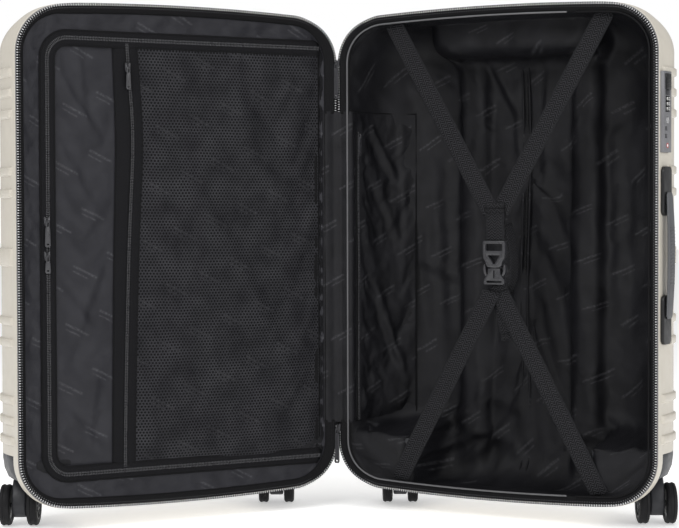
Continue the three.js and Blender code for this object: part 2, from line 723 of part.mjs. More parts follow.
// The housing at the top back edge: it closes the case there and guides the two tubes.
function trolleyHousing() {
  let housing = trayBlock(0.2, PARTING).intersect(housingCut(-GAP));
  housing = housing.subtract(
    box(
      [MID_X - TROLLEY_GRIP.halfWidth - 2, TROLLEY_GRIP.front - 2, TROLLEY_HOUSING.floor],
      [MID_X + TROLLEY_GRIP.halfWidth + 2, CASE.halfDepth + BEYOND, MID_Z + CASE.height / 2 + BEYOND],
    ),
  );
  // Below its floor only a rim and the tube guides are solid.
  const low = TROLLEY_HOUSING.bottom - 1;
  housing = housing.subtract(
    box(
      [MID_X - 60, TROLLEY_HOUSING.front + 4, low],
      [MID_X + 60, CASE.halfDepth - 16, TROLLEY_HOUSING.floor - 4],
    ),
  );
  for (const side of SIDES) {
    const bore = ({ width, depth }, grow, top) => {
      const x = MID_X + side * TROLLEY.spread;
      const halfWidth = width / 2 + grow;
      const halfDepth = depth / 2 + grow;
      return box(
        [x - halfWidth, TROLLEY.depth - halfDepth, low],
        [x + halfWidth, TROLLEY.depth + halfDepth, top],
      );
    };
    housing = housing.subtract(bore(TUBES.outer, GAP, TROLLEY.top + GAP));
    housing = housing.subtract(bore(TUBES.middle, 0.5, TROLLEY_HOUSING.floor + 1));
  }
  return geometryOf(housing);
}

const BUTTON = { halfWidth: 15, halfDepth: 5.5, bottom: 635.5, top: 643.5, pocket: 632 };

function trolleyGrip() {
  const { halfWidth, front, back, bottom, top } = TROLLEY_GRIP;
  const y = (front + back) / 2;
  let grip = box([MID_X - halfWidth, front, bottom], [MID_X + halfWidth, back, top]);
  grip = grip.subtract(
    box(
      [MID_X - BUTTON.halfWidth - 0.5, y - BUTTON.halfDepth - 0.5, BUTTON.pocket],
      [MID_X + BUTTON.halfWidth + 0.5, y + BUTTON.halfDepth + 0.5, top + 1],
    ),
  );
  for (const side of SIDES) {
    const x = MID_X + side * TROLLEY.spread;
    const { width, depth } = TUBES.inner;
    grip = grip.subtract(
      box(
        [x - width / 2 - GAP, TROLLEY.depth - depth / 2 - GAP, bottom - 1],
        [x + width / 2 + GAP, TROLLEY.depth + depth / 2 + GAP, TUBES.inner.top + GAP],
      ),
    );
  }
  return geometryOf(grip);
}

const trolleyButton = () => {
  const y = (TROLLEY_GRIP.front + TROLLEY_GRIP.back) / 2;
  return geometryOf(
    box(
      [MID_X - BUTTON.halfWidth, y - BUTTON.halfDepth, BUTTON.bottom],
      [MID_X + BUTTON.halfWidth, y + BUTTON.halfDepth, BUTTON.top],
    ),
  );
};

// ---------------------------------------------------------------- assembly

function add(group, name, geometry, look) {
  const mesh = new THREE.Mesh(geometry, look);
  mesh.name = name;
  group.add(mesh);
  return mesh;
}

function addBaseHalf(base) {
  add(base, "base_shell", baseShell(), cream);
  add(base, "base_rim_zip", rimRing(), tape);
  add(base, "base_lining", geometryOf(trayLining(true)), nylon);
  add(base, "hinge_cover_base", hingeCover(), nylon);
  add(base, "spine_pocket", spinePocket(), nylon);
  const pocketSlider = add(base, "spine_pocket_slider", zipSlider(7, 11, 20), blackPlastic);
  pocketSlider.rotation.z = Math.PI / 2;
  pocketSlider.position.set(CASE.spineGap + 11.3 + GAP, 22, 480);
  for (const [where, z] of [["upper", 575], ["lower", 97]]) {
    add(base, `main_slider_${where}`, zipSlider(8, 12, 40), blackPlastic).position.set(0, 1, z);
  }
}

function addStraps(base) {
  const { plane, width, thickness } = STRAP;
  const x = BUCKLE.centre;
  const join = { top: 392, bottom: BUCKLE.bottom - 2 };
  for (const side of SIDES) {
    const place = side < 0 ? "left" : "right";
    const lift = side * 1.2; // one strap lies over the other where they meet
    const strap = (away, z, meeting) =>
      band([MID_X + side * away, plane, z], [x + side * 9, plane + lift, meeting], width, thickness);
    add(base, `strap_upper_${place}`, strap(145, 626, join.top), webbing);
    add(base, `strap_lower_${place}`, strap(137, 46, join.bottom - 14), webbing);
  }
  const centre = band([x, plane + 4, join.top - 12], [x, plane + 4, BUCKLE.top + GAP], width, thickness);
  add(base, "strap_joining_tab", centre, webbing);
  add(base, "buckle_socket", buckleSocket(), blackPlastic);
  add(base, "buckle_clip", buckleClip(), blackPlastic);
}

function addLock(base) {
  add(base, "lock_body", lockBody(), greyPlastic);
  for (const step of [-1, 0, 1]) {
    const one = add(base, `lock_dial_${step + 2}`, dial(), dialPlastic);
    one.position.set(LOCK_AXLE_X, KEY.y, DIAL.middle - step * DIAL.pitch);
  }
  add(base, "lock_key_cylinder", keyCylinder(), steel).position.set(0, KEY.y, KEY.z);
  add(base, "lock_release", lockRelease(), blackPlastic);
}

function addHandles(base) {
  add(base, "side_handle_cap_lower", sideHandleCap(-1), blackPlastic);
  add(base, "side_handle_cap_upper", sideHandleCap(1), blackPlastic);
  add(base, "side_handle_grip", sideHandleGrip(), greyPlastic);
  add(base, "top_handle_cup", topHandleCup(), blackPlastic);
  add(base, "top_handle_grip", topHandleGrip(), greyPlastic);
}

function addTrolley(base) {
  add(base, "trolley_housing", trolleyHousing(), greyPlastic);
  for (const [stage, size] of Object.entries(TUBES)) {
    for (const side of SIDES) {
      const place = side < 0 ? "left" : "right";
      const one = add(base, `trolley_${stage}_tube_${place}`, tube(size), aluminium);
      one.position.set(MID_X + side * TROLLEY.spread, TROLLEY.depth, 0);
    }
  }
  add(base, "trolley_grip", trolleyGrip(), blackPlastic);
  add(base, "trolley_button", trolleyButton(), greyPlastic);
}

function addLidHalf(lid) {
  add(lid, "lid_shell", geometryOf(plainShell()), cream);
  add(lid, "lid_rim_zip", rimRing(), tape);
  add(lid, "lid_lining", lidLining(), nylon);
  add(lid, "hinge_cover_lid", hingeCover(), nylon);
  add(lid, "divider_panel", dividerPanel(), nylon);
  add(lid, "divider_mesh_pocket", meshPocket(), meshFabric);
  const edge = OUTER_X - DIVIDER.inset + 5.2;
  for (const [where, z, tab] of [["upper", 372, 26], ["lower", 330, 16]]) {
    const slider = add(lid, `divider_slider_${where}`, zipSlider(8, 11, tab), blackPlastic);
    slider.position.set(edge, DIVIDER.face - GAP, z);
  }
  const meshSlider = add(lid, "mesh_pocket_slider", zipSlider(7, 11, 22), blackPlastic);
  const pocketFace = DIVIDER.face - POCKET.thickness - 2 * GAP;
  meshSlider.position.set(POCKET.slider.x, pocketFace, POCKET.slider.z);
}

const suitcase = new THREE.Group();
const base = new THREE.Group();
const lid = new THREE.Group();
lid.rotation.z = THREE.MathUtils.degToRad(-CASE.openAngle);
lid.scale.y = -1;
suitcase.add(base, lid);

addBaseHalf(base);
addStraps(base);
addLock(base);
addHandles(base);
addTrolley(base);
addCasters(base, "base");
addLidHalf(lid);
addCasters(lid, "lid");

// The origin is the middle of the object's box, on the floor.
const bounds = new THREE.Box3().setFromObject(suitcase, true);
const middle = bounds.getCenter(new THREE.Vector3());
suitcase.position.set(-middle.x, -middle.y, -bounds.min.z);

export default suitcase;
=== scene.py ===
import json
import math

import bmesh
import bpy
import numpy as np
from mathutils import Matrix, Vector, noise
from mathutils.geometry import tessellate_polygon

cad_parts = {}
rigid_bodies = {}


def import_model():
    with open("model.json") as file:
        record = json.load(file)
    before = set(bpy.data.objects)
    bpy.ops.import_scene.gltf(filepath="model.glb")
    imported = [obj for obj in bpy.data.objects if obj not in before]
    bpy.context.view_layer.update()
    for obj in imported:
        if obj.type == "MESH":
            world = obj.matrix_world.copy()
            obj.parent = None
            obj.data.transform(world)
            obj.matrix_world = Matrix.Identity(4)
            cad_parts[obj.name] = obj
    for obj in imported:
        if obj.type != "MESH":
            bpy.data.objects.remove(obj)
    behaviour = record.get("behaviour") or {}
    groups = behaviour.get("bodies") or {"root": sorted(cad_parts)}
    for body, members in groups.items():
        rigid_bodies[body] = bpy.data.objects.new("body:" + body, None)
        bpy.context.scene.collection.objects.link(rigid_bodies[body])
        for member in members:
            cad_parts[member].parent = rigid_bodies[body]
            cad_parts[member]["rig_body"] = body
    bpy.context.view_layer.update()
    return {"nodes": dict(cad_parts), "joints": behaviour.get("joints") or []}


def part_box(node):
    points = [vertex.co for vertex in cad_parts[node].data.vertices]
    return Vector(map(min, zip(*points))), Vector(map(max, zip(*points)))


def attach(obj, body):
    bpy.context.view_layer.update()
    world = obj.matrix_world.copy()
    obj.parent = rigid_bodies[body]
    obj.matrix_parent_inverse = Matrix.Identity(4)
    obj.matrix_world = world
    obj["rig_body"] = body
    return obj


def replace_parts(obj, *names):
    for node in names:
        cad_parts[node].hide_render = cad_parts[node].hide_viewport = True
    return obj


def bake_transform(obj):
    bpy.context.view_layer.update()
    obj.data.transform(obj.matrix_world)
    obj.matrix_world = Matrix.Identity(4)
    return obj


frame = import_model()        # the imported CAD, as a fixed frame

# ---------------------------------------------------------------- dimensions, in millimetres
# Both halves are described in one half frame: X from the hinge line, Y behind the rim, Z above the floor.

WIDTH, HEIGHT, DEPTH = 440.0, 620.0, 128.0      # of one half
WALL = 3.0
CORNER, SIDE_ROUND, END_ROUND = 58.0, 96.0, 56.0  # radii: the front outline, the long and the short edges
CROWN = 8.0                                      # how far the top and bottom bow out in their middle
SPINE_GAP, FLOOR_GAP = 6.0, 24.0                 # from the hinge line, and under the shell
MID_X = SPINE_GAP + WIDTH / 2
MID_Z = FLOOR_GAP + HEIGHT / 2
OUTER_X = SPINE_GAP + WIDTH
RIB_START, RIB_PROUD, RIB_HALF = 9.0, 3.0, 6.0
RIB_OFFSETS = (-228, -203, -177, -106, -79, 0, 79, 106, 177, 203, 228)
MIDDLE_RIB_HALF = 12.0
LINING_INSET = 7.5
COVER_LOW, COVER_HIGH = 111.0, 518.0
WELL_FRONT, WELL_WIDTH, WELL_TOP = 14.0, 92.0, 94.0
TUBE_SPREAD = 80.0
HOUSING_HALF, HOUSING_FRONT, HOUSING_BOTTOM = 106.0, 92.0, 596.0
CUP_HALF, CUP_FRONT, CUP_BACK, CUP_BOTTOM = 90.0, 50.0, 84.0, 625.0
DIVIDER_INSET, DIVIDER_CORNER, DIVIDER_SPINE = 44.0, 26.0, 24.0
MM = 0.001

hinge = next(j for j in frame["joints"] if j["name"] == "lid_hinge")
HINGE = np.array([hinge["pos_m"][0], hinge["pos_m"][1], 0.0])
OPEN = math.radians(-hinge["range_deg"][0])


class Half:
    """One half of the case: where its half frame lies in the row frame."""

    def __init__(self, body, mirrored):
        self.body = body
        self.mirrored = mirrored
        across = (math.cos(OPEN), -math.sin(OPEN), 0.0) if mirrored else (1.0, 0.0, 0.0)
        back = (-math.sin(OPEN), -math.cos(OPEN), 0.0) if mirrored else (0.0, 1.0, 0.0)
        self.axes = np.array([across, back, (0.0, 0.0, 1.0)])

    def put(self, points):
        return HINGE + (np.asarray(points, float) * MM) @ self.axes

    def back_to_half(self, points):
        return ((np.asarray(points, float) - HINGE) @ self.axes.T) / MM


BASE = Half("base", False)
LID = Half("lid", True)


# ---------------------------------------------------------------- node materials

class Graph:
    """A material being built: each method adds one node and returns its output."""

    def __init__(self, name, colour, roughness, metallic=0.0, **sockets):
        self.material = bpy.data.materials.new(name)
        self.material.use_nodes = True
        self.tree = self.material.node_tree
        self.shader = self.tree.nodes["Principled BSDF"]
        self.shader.inputs["Base Color"].default_value = (*colour, 1.0)
        self.shader.inputs["Roughness"].default_value = roughness
        self.shader.inputs["Metallic"].default_value = metallic
        for socket, value in sockets.items():
            self.shader.inputs[socket.replace("_", " ")].default_value = value

    def node(self, kind, inputs=(), **settings):
        made = self.tree.nodes.new(kind)
        for key, value in settings.items():
            setattr(made, key, value)
        for key, value in dict(inputs).items():
            self.feed(made.inputs[key], value)
        return made

    def feed(self, socket, value):
        if isinstance(value, bpy.types.NodeSocket):
            self.tree.links.new(value, socket)
        elif value is not None:
            socket.default_value = value

    def set(self, socket, value):
        self.feed(self.shader.inputs[socket], value)

    def math(self, operation, a, b=None):
        return self.node("ShaderNodeMath", {0: a, 1: b}, operation=operation).outputs[0]

    def times(self, a, b):
        return self.math("MULTIPLY", a, b)

    def plus(self, a, b):
        return self.math("ADD", a, b)

    def flat(self):
        return self.node("ShaderNodeAttribute", attribute_name="flat").outputs["Vector"]

    def place(self):
        return self.node("ShaderNodeTexCoord").outputs["Object"]

    def scaled(self, vector, x, y, z=1.0):
        return self.node("ShaderNodeVectorMath", {0: vector, 1: (x, y, z)}, operation="MULTIPLY").outputs[0]

    def turned(self, vector, angle):
        return self.node("ShaderNodeVectorRotate", {"Vector": vector, "Angle": angle}).outputs[0]

    def parts(self, vector):
        return self.node("ShaderNodeSeparateXYZ", {0: vector}).outputs

    def noise(self, vector, scale, detail=3.0, roughness=0.5):
        inputs = {"Vector": vector, "Scale": scale, "Detail": detail, "Roughness": roughness}
        return self.node("ShaderNodeTexNoise", inputs).outputs["Fac"]

    def spread(self, value, low, high, to_low, to_high):
        inputs = {0: value, 1: low, 2: high, 3: to_low, 4: to_high}
        return self.node("ShaderNodeMapRange", inputs).outputs[0]

    def between(self, value, low, high, soft):
        """1 where the value lies between low and high, with soft edges."""
        rise = self.spread(value, low - soft, low + soft, 0.0, 1.0)
        fall = self.spread(value, high - soft, high + soft, 1.0, 0.0)
        return self.times(rise, fall)

    def mix(self, factor, first, second):
        made = self.node("ShaderNodeMix", data_type="RGBA")
        self.feed(made.inputs[0], factor)
        for socket, colour in ((made.inputs[6], first), (made.inputs[7], second)):
            self.feed(socket, (*colour, 1.0) if isinstance(colour, tuple) else colour)
        return made.outputs[2]

    def bump(self, height, distance, strength=1.0, normal=None):
        inputs = {"Height": height, "Distance": distance, "Strength": strength, "Normal": normal}
        return self.node("ShaderNodeBump", inputs).outputs[0]

    def wave(self, value, pitch):
        """A sine of the value, between -1 and 1, that repeats every pitch."""
        return self.math("SINE", self.times(value, 2 * math.pi / pitch))


MARK_TILT, MARK_ROWS, MARK_COLUMNS, MARK_STAGGER = math.radians(-27), 0.034, 0.088, 0.37


def printed_marks(graph, flat, strength):
    """Faint pairs of slanted dashes, staggered from row to row."""
    x, y, _ = graph.parts(graph.turned(flat, MARK_TILT))
    row = graph.math("DIVIDE", y, MARK_ROWS)
    step = graph.times(graph.math("FLOOR", row), MARK_STAGGER)
    column = graph.plus(graph.math("DIVIDE", x, MARK_COLUMNS), step)
    across = graph.math("FRACT", column)
    up = graph.math("FRACT", row)
    long_dash = graph.times(graph.between(across, 0.12, 0.50, 0.012), graph.between(up, 0.52, 0.60, 0.02))
    short_dash = graph.times(graph.between(across, 0.24, 0.47, 0.012), graph.between(up, 0.36, 0.41, 0.02))
    worn = graph.spread(graph.noise(flat, 420.0, 2.0), 0.38, 0.62, 0.15, 1.0)
    return graph.times(graph.times(graph.plus(long_dash, short_dash), worn), strength)


THREAD_PITCH, KNIT_PITCH, NYLON_ROUGHNESS = 0.0011, 0.0012, 0.42


def nylon_look(name, dark, light, marks):
    """Thin woven nylon: a fine plain weave, soft cloudy shade, and the printed marks."""
    graph = Graph(name, dark, NYLON_ROUGHNESS, Specular_IOR_Level=0.2)
    flat = graph.flat()
    x, y, _ = graph.parts(flat)
    weave = graph.times(graph.wave(x, THREAD_PITCH), graph.wave(y, THREAD_PITCH))
    cloudy = graph.spread(graph.noise(flat, 26.0, 4.0), 0.3, 0.7, 0.0, 1.0)
    cloth = graph.mix(cloudy, dark, light)
    mark = printed_marks(graph, flat, marks)
    graph.set("Base Color", graph.mix(mark, cloth, (0.20, 0.20, 0.215)))
    graph.set("Roughness", graph.spread(graph.noise(flat, 60.0), 0.3, 0.7, NYLON_ROUGHNESS - 0.05,
                                        NYLON_ROUGHNESS + 0.09))
    soft = graph.bump(graph.noise(flat, 90.0, 5.0, 0.6), 0.0011, 0.55)
    graph.set("Normal", graph.bump(weave, 0.00018, 0.5, soft))
    return graph.material


def tape_look(name, colour):
    """Knitted zip tape: fine lengthwise ribs."""
    graph = Graph(name, colour, 0.78, Specular_IOR_Level=0.12)
    flat = graph.flat()
    x, y, _ = graph.parts(flat)
    ribs = graph.plus(graph.wave(x, KNIT_PITCH), graph.wave(y, KNIT_PITCH * 0.8))
    fleck = graph.spread(graph.noise(flat, 900.0, 2.0), 0.35, 0.65, 0.0, 1.0)
    graph.set("Base Color", graph.mix(fleck, tuple(c * 0.7 for c in colour),
                                      tuple(c * 1.4 for c in colour)))
    graph.set("Normal", graph.bump(ribs, 0.0002, 0.7))
    return graph.material


def webbing_look(name):
    """Herringbone webbing with a plain selvedge on both edges. flat is across and along the strap."""
    graph = Graph(name, (0.03, 0.03, 0.033), 0.66, Specular_IOR_Level=0.12)
    flat = graph.flat()
    x, y, _ = graph.parts(flat)
    zigzag = graph.math("PINGPONG", x, 0.0042)
    slant = graph.wave(graph.plus(y, zigzag), 0.0036)
    middle = graph.between(graph.math("ABSOLUTE", x), -1.0, 0.0098, 0.0004)
    edge = graph.wave(y, 0.0016)
    height = graph.node("ShaderNodeMix", {0: middle, 2: edge, 3: slant}).outputs[0]
    fibre = graph.noise(graph.scaled(flat, 900.0, 260.0), 1.0, 3.0)
    # The colour follows the weave's height: darker in its hollows as painted shade, lighter on raised threads
    # as painted highlight, plus a random tone of the fibres.
    shade = graph.plus(graph.spread(height, -1.0, 1.0, 0.0, 0.8), graph.spread(fibre, 0.3, 0.7, -0.2, 0.2))
    graph.set("Base Color", graph.mix(shade, (0.002, 0.002, 0.0025), (0.038, 0.038, 0.042)))
    graph.set("Normal", graph.bump(height, 0.0005, 0.8))
    return graph.material


def knit_look(name):
    """Hexagonal mesh fabric: threads round holes painted near black, as painted shade of the sheet behind,
    with that sheet's printed marks still showing.
    """
    graph = Graph(name, (0.03, 0.03, 0.033), 0.6, Specular_IOR_Level=0.12)
    flat = graph.flat()
    x, y, _ = graph.parts(flat)
    pitch_x, pitch_y = 0.0044, 0.0036
    row = graph.math("DIVIDE", y, pitch_y)
    odd = graph.times(graph.math("FLOORED_MODULO", graph.math("FLOOR", row), 2.0), 0.5)
    column = graph.plus(graph.math("DIVIDE", x, pitch_x), odd)
    across = graph.math("ABSOLUTE", graph.math("SUBTRACT", graph.math("FRACT", column), 0.5))
    up = graph.math("ABSOLUTE", graph.math("SUBTRACT", graph.math("FRACT", row), 0.5))
    slanted = graph.plus(graph.times(across, 0.8), graph.times(up, 0.55))
    edge = graph.math("MAXIMUM", slanted, graph.math("MAXIMUM", across, graph.times(up, 0.92)))
    thread = graph.spread(edge, 0.29, 0.34, 0.0, 1.0)
    cloudy = graph.spread(graph.noise(flat, 30.0, 3.0), 0.3, 0.7, 0.0, 1.0)
    yarn = graph.mix(cloudy, (0.016, 0.016, 0.019), (0.034, 0.034, 0.038))
    # The holes' colour: near black, painted shade where the mesh darkens the sheet behind, with the sheet's
    # real printed marks over it.
    seen = graph.mix(printed_marks(graph, flat, 0.3), (0.0025, 0.0025, 0.003), (0.11, 0.11, 0.115))
    graph.set("Base Color", graph.mix(thread, seen, yarn))
    graph.set("Normal", graph.bump(thread, 0.0003, 0.6))
    return graph.material


def plastic_look(name, colour, roughness, grain=700.0, depth=0.00006, coat=0.0, specular=0.5, cloud=0.11):
    """Moulded plastic: a fine spark-eroded grain, faint clouding and slightly polished patches."""
    graph = Graph(name, colour, roughness, Coat_Weight=coat, Coat_Roughness=0.2,
                  Specular_IOR_Level=specular)
    place = graph.place()
    cloudy = graph.spread(graph.noise(place, 35.0, 4.0), 0.3, 0.7, 0.0, 1.0)
    shade = graph.mix(cloudy, tuple(c * (1 - cloud) for c in colour),
                      tuple(c * (1 + cloud) for c in colour))
    graph.set("Base Color", shade)
    graph.set("Roughness", graph.spread(graph.noise(place, 110.0, 3.0), 0.3, 0.7, roughness - 0.07,
                                        roughness + 0.07))
    graph.set("Normal", graph.bump(graph.noise(place, grain, 3.0, 0.6), depth, 0.6))
    return graph.material


def metal_look(name, colour, roughness):
    """Brushed metal: streaks along Z and small changes of gloss."""
    graph = Graph(name, colour, roughness, 1.0)
    streaks = graph.noise(graph.scaled(graph.place(), 900.0, 900.0, 40.0), 1.0, 3.0)
    graph.set("Roughness", graph.spread(streaks, 0.3, 0.7, roughness - 0.08, roughness + 0.1))
    graph.set("Normal", graph.bump(streaks, 0.00003, 0.4))
    return graph.material


NYLON_DARK, NYLON_LIGHT = (0.0055, 0.0055, 0.0068), (0.0115, 0.0115, 0.0138)
shell_look = plastic_look("shell_cream", (0.56, 0.522, 0.452), 0.42, 620.0, 0.00012, 0.12, cloud=0.025)
lining_look = nylon_look("lining_nylon", NYLON_DARK, NYLON_LIGHT, 0.16)
panel_look = nylon_look("panel_nylon", (0.0165, 0.0165, 0.0205), (0.026, 0.026, 0.031), 0.2)
tape_black = tape_look("zip_tape", (0.008, 0.008, 0.0088))
tape_grey = tape_look("zip_band", (0.0085, 0.0085, 0.0098))
tape_welt = plastic_look("welt_grey", (0.16, 0.16, 0.16), 0.4, 900.0, 0.00003)
piping_look = plastic_look("piping_grey", (0.1, 0.1, 0.105), 0.4, 900.0, 0.00003)
stitch_look = plastic_look("stitching", (0.075, 0.075, 0.08), 0.6, 900.0, 0.00003)
chain_look = plastic_look("zip_chain", (0.05, 0.05, 0.054), 0.3, 900.0, 0.00002)
webbing_material = webbing_look("webbing")
knit_material = knit_look("mesh_fabric")
black_look = plastic_look("black_plastic", (0.011, 0.011, 0.012), 0.38, specular=0.35)
buckle_look = plastic_look("buckle_plastic", (0.036, 0.036, 0.04), 0.3)
lock_look = plastic_look("lock_plastic", (0.15, 0.15, 0.16), 0.42)
grey_look = plastic_look("grey_plastic", (0.03, 0.031, 0.035), 0.44, specular=0.35)
handle_look = plastic_look("handle_plastic", (0.075, 0.077, 0.083), 0.5, 500.0, 0.00014)
rubber_look = plastic_look("wheel_rubber", (0.008, 0.008, 0.009), 0.62, 400.0, 0.00012, specular=0.25)
tooth_look = metal_look("zip_teeth", (0.62, 0.62, 0.63), 0.3)
steel_look = metal_look("key_steel", (0.62, 0.62, 0.63), 0.26)
aluminium_look = metal_look("tube_aluminium", (0.56, 0.57, 0.58), 0.32)
white_look = plastic_look("dial_marks", (0.82, 0.82, 0.8), 0.5, 900.0, 0.00002)
mark_look = plastic_look("lock_mark", (0.42, 0.03, 0.03), 0.45, 900.0, 0.00002)


# ---------------------------------------------------------------- meshes

def grid_faces(rows, columns, wrap=False, start=0):
    """Quads of a grid of points stored row by row. wrap joins the last column to the first."""
    row, column = np.meshgrid(np.arange(rows - 1), np.arange(columns if wrap else columns - 1),
                              indexing="ij")
    following = (column + 1) % columns
    corners = (row * columns + column, row * columns + following,
               (row + 1) * columns + following, (row + 1) * columns + column)
    return (np.stack(corners, -1).reshape(-1, 4) + start).tolist()


def linked(name, data):
    """A new object in the scene."""
    obj = bpy.data.objects.new(name, data)
    bpy.context.scene.collection.objects.link(obj)
    return obj


def faced_outwards(mesh):
    """Turns the faces of a closed mesh outwards."""
    work = bmesh.new()
    work.from_mesh(mesh)
    bmesh.ops.recalc_face_normals(work, faces=work.faces)
    work.to_mesh(mesh)
    work.free()


def moved(obj, points):
    """Gives an object's vertices new places, in metres."""
    obj.data.vertices.foreach_set("co", np.asarray(points).astype(np.float32).ravel())
    obj.data.update()


def vertices_of(obj, half):
    """An object's vertices in millimetres of a half frame."""
    return half.back_to_half([tuple(v.co) for v in obj.data.vertices])


def lengths_along(path):
    """The length run at each point of a path."""
    return np.concatenate([[0.0], np.cumsum(np.linalg.norm(np.diff(path, axis=0), axis=1))])


def laid_flat(places):
    """Pairs of numbers as the points of a flat cloth."""
    return np.column_stack([places, np.zeros(len(places))])


def line_at(x, y, z):
    """A line of points at the heights z. X and Y are each one number or as many as the heights."""
    return np.stack(np.broadcast_arrays(x, y, z), 1).astype(float)


def capped_faces(rows, columns):
    """The faces of rings of points, with a cap on both ends."""
    ends = [list(range(columns))[::-1], list(range((rows - 1) * columns, rows * columns))]
    return grid_faces(rows, columns, wrap=True) + ends


def built(name, half, points, faces, look, flat=None, slot=None, closed=True, sharp=38.0, body="same"):
    """A shown piece from points in millimetres of the half frame. It rides on the half's body unless told
    another, and on none where body is None."""
    mesh = bpy.data.meshes.new(name)
    if half.mirrored:
        faces = [list(face)[::-1] for face in faces]
    mesh.from_pydata(half.put(points).tolist(), [], [list(face) for face in faces])
    if flat is not None:
        attribute = mesh.attributes.new("flat", "FLOAT_VECTOR", "POINT")
        attribute.data.foreach_set("vector", (np.asarray(flat, float) * MM).astype(np.float32).ravel())
    work = bmesh.new()
    work.from_mesh(mesh)
    bmesh.ops.remove_doubles(work, verts=work.verts, dist=1e-6)
    bmesh.ops.dissolve_degenerate(work, edges=work.edges, dist=1e-6)
    if closed:
        bmesh.ops.recalc_face_normals(work, faces=work.faces)
    work.to_mesh(mesh)
    work.free()
    return finished(linked(name, mesh), look, sharp, half.body if body == "same" else body)


def finished(obj, look, sharp, body):
    """Gives a piece its material and body. Edges sharper than the angle stay hard."""
    obj.data.materials.clear()
    obj.data.materials.append(look)
    obj.data.shade_smooth()
    if sharp:
        obj.data.set_sharp_from_angle(angle=math.radians(sharp))
    if body:
        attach(obj, body)
    return obj


def applied(obj):
    """Replaces an object's mesh by what its modifiers make of it."""
    bpy.context.view_layer.update()
    graph = bpy.context.evaluated_depsgraph_get()
    mesh = bpy.data.meshes.new_from_object(obj.evaluated_get(graph))
    obj.modifiers.clear()
    obj.data = mesh
    return obj


def bevelled(obj, width, segments):
    """Rounds an object's hard edges by a width in millimetres."""
    modifier = obj.modifiers.new("round", "BEVEL")
    modifier.width = width * MM
    modifier.segments = segments
    modifier.limit_method = "ANGLE"
    modifier.angle_limit = math.radians(35)
    modifier.use_clamp_overlap = True
    return applied(obj)


def cut(obj, half, boxes):
    """Takes boxes, each (low, high) in millimetres of the half frame, out of an object."""
    for low, high in boxes:
        cutter = box_mesh("cutter", half, low, high)
        modifier = obj.modifiers.new("cut", "BOOLEAN")
        modifier.operation = "DIFFERENCE"
        modifier.solver = "MANIFOLD"
        modifier.object = cutter
        applied(obj)
        bpy.data.objects.remove(cutter)
    return obj


def box_mesh(name, half, low, high):
    """A closed box between two corners of the half frame, to cut with."""
    mesh = bpy.data.meshes.new(name)
    corners = [(x, y, z) for x in (low[0], high[0]) for y in (low[1], high[1]) for z in (low[2], high[2])]
    faces = [(0, 1, 3, 2), (4, 6, 7, 5), (0, 4, 5, 1), (2, 3, 7, 6), (0, 2, 6, 4), (1, 5, 7, 3)]
    mesh.from_pydata(half.put(corners).tolist(), [], faces)
    faced_outwards(mesh)
    return linked(name, mesh)


def resampled(path, step=None, count=None, closed=False):
    """The path's points at even distances, with the tangent at each."""
    path = np.asarray(path, float)
    if closed:
        path = np.vstack([path, path[:1]])
    along = lengths_along(path)
    if count is None:
        count = max(2, int(round(along[-1] / step)) + (0 if closed else 1))
    at = np.linspace(0, along[-1], count, endpoint=not closed)
    points = np.stack([np.interp(at, along, path[:, i]) for i in range(3)], 1)
    near = 0.5
    ahead = np.stack([np.interp(np.minimum(at + near, along[-1]), along, path[:, i]) for i in range(3)], 1)
    behind = np.stack([np.interp(np.maximum(at - near, 0), along, path[:, i]) for i in range(3)], 1)
    tangent = ahead - behind
    return points, tangent / np.linalg.norm(tangent, axis=1)[:, None], at


def tube(name, half, path, radius, look, closed=False, sharp=None, **options):
    """A round cord along a path, such as piping."""
    sides = 8
    points, tangent, along = resampled(path, step=max(3.0, radius * 2), closed=closed)
    out = np.cross(tangent, (0.0, 1.0, 0.0))
    out /= np.maximum(np.linalg.norm(out, axis=1), 1e-9)[:, None]
    deep = np.cross(out, tangent)
    angle = np.arange(sides) * 2 * math.pi / sides
    turn_out, turn_deep = np.cos(angle)[None, :, None], np.sin(angle)[None, :, None]
    cloud = points[:, None] + (out[:, None] * turn_out + deep[:, None] * turn_deep) * radius
    count = len(points)
    if closed:
        last = (count - 1) * sides
        faces = grid_faces(count, sides, wrap=True)
        faces += [[last + i, last + (i + 1) % sides, (i + 1) % sides, i] for i in range(sides)]
    else:
        faces = capped_faces(count, sides)
    flat = np.zeros((count, sides, 3))
    flat[:, :, 0] = angle[None] * radius
    flat[:, :, 1] = along[:, None]
    return built(name, half, cloud.reshape(-1, 3), faces, look, flat.reshape(-1, 3), sharp=sharp, **options)


def beads(name, half, path, pitch, size, look, normal=(0.0, -1.0, 0.0), offset=0.0, slant=0.0, **options):
    """Zip teeth: one small rounded bead every pitch along a path. size is along, across and out."""
    points, tangent, _ = resampled(path, step=pitch)
    normal = np.broadcast_to(np.asarray(normal, float), tangent.shape)
    side = np.cross(tangent, normal)
    side /= np.linalg.norm(side, axis=1)[:, None]
    rings, sides = 5, 6
    shape = []
    for ring in range(rings):
        turn = math.pi * ring / (rings - 1) - math.pi / 2
        for i in range(sides):
            angle = 2 * math.pi * i / sides
            shape.append((math.cos(turn) * math.cos(angle), math.sin(turn),
                          math.cos(turn) * math.sin(angle)))
    shape = np.sign(shape) * np.abs(shape) ** 0.75 * np.array(size) / 2
    shape[:, 0] += slant * shape[:, 1]
    cloud = (points[:, None] + side[:, None] * offset + tangent[:, None] * shape[None, :, :1]
             + side[:, None] * shape[None, :, 1:2] + normal[:, None] * shape[None, :, 2:])
    one = grid_faces(rings, sides, wrap=True)
    faces = (np.array(one)[None] + (np.arange(len(points)) * rings * sides)[:, None, None]).reshape(-1, 4)
    return built(name, half, cloud.reshape(-1, 3), faces.tolist(), look, sharp=None, **options)


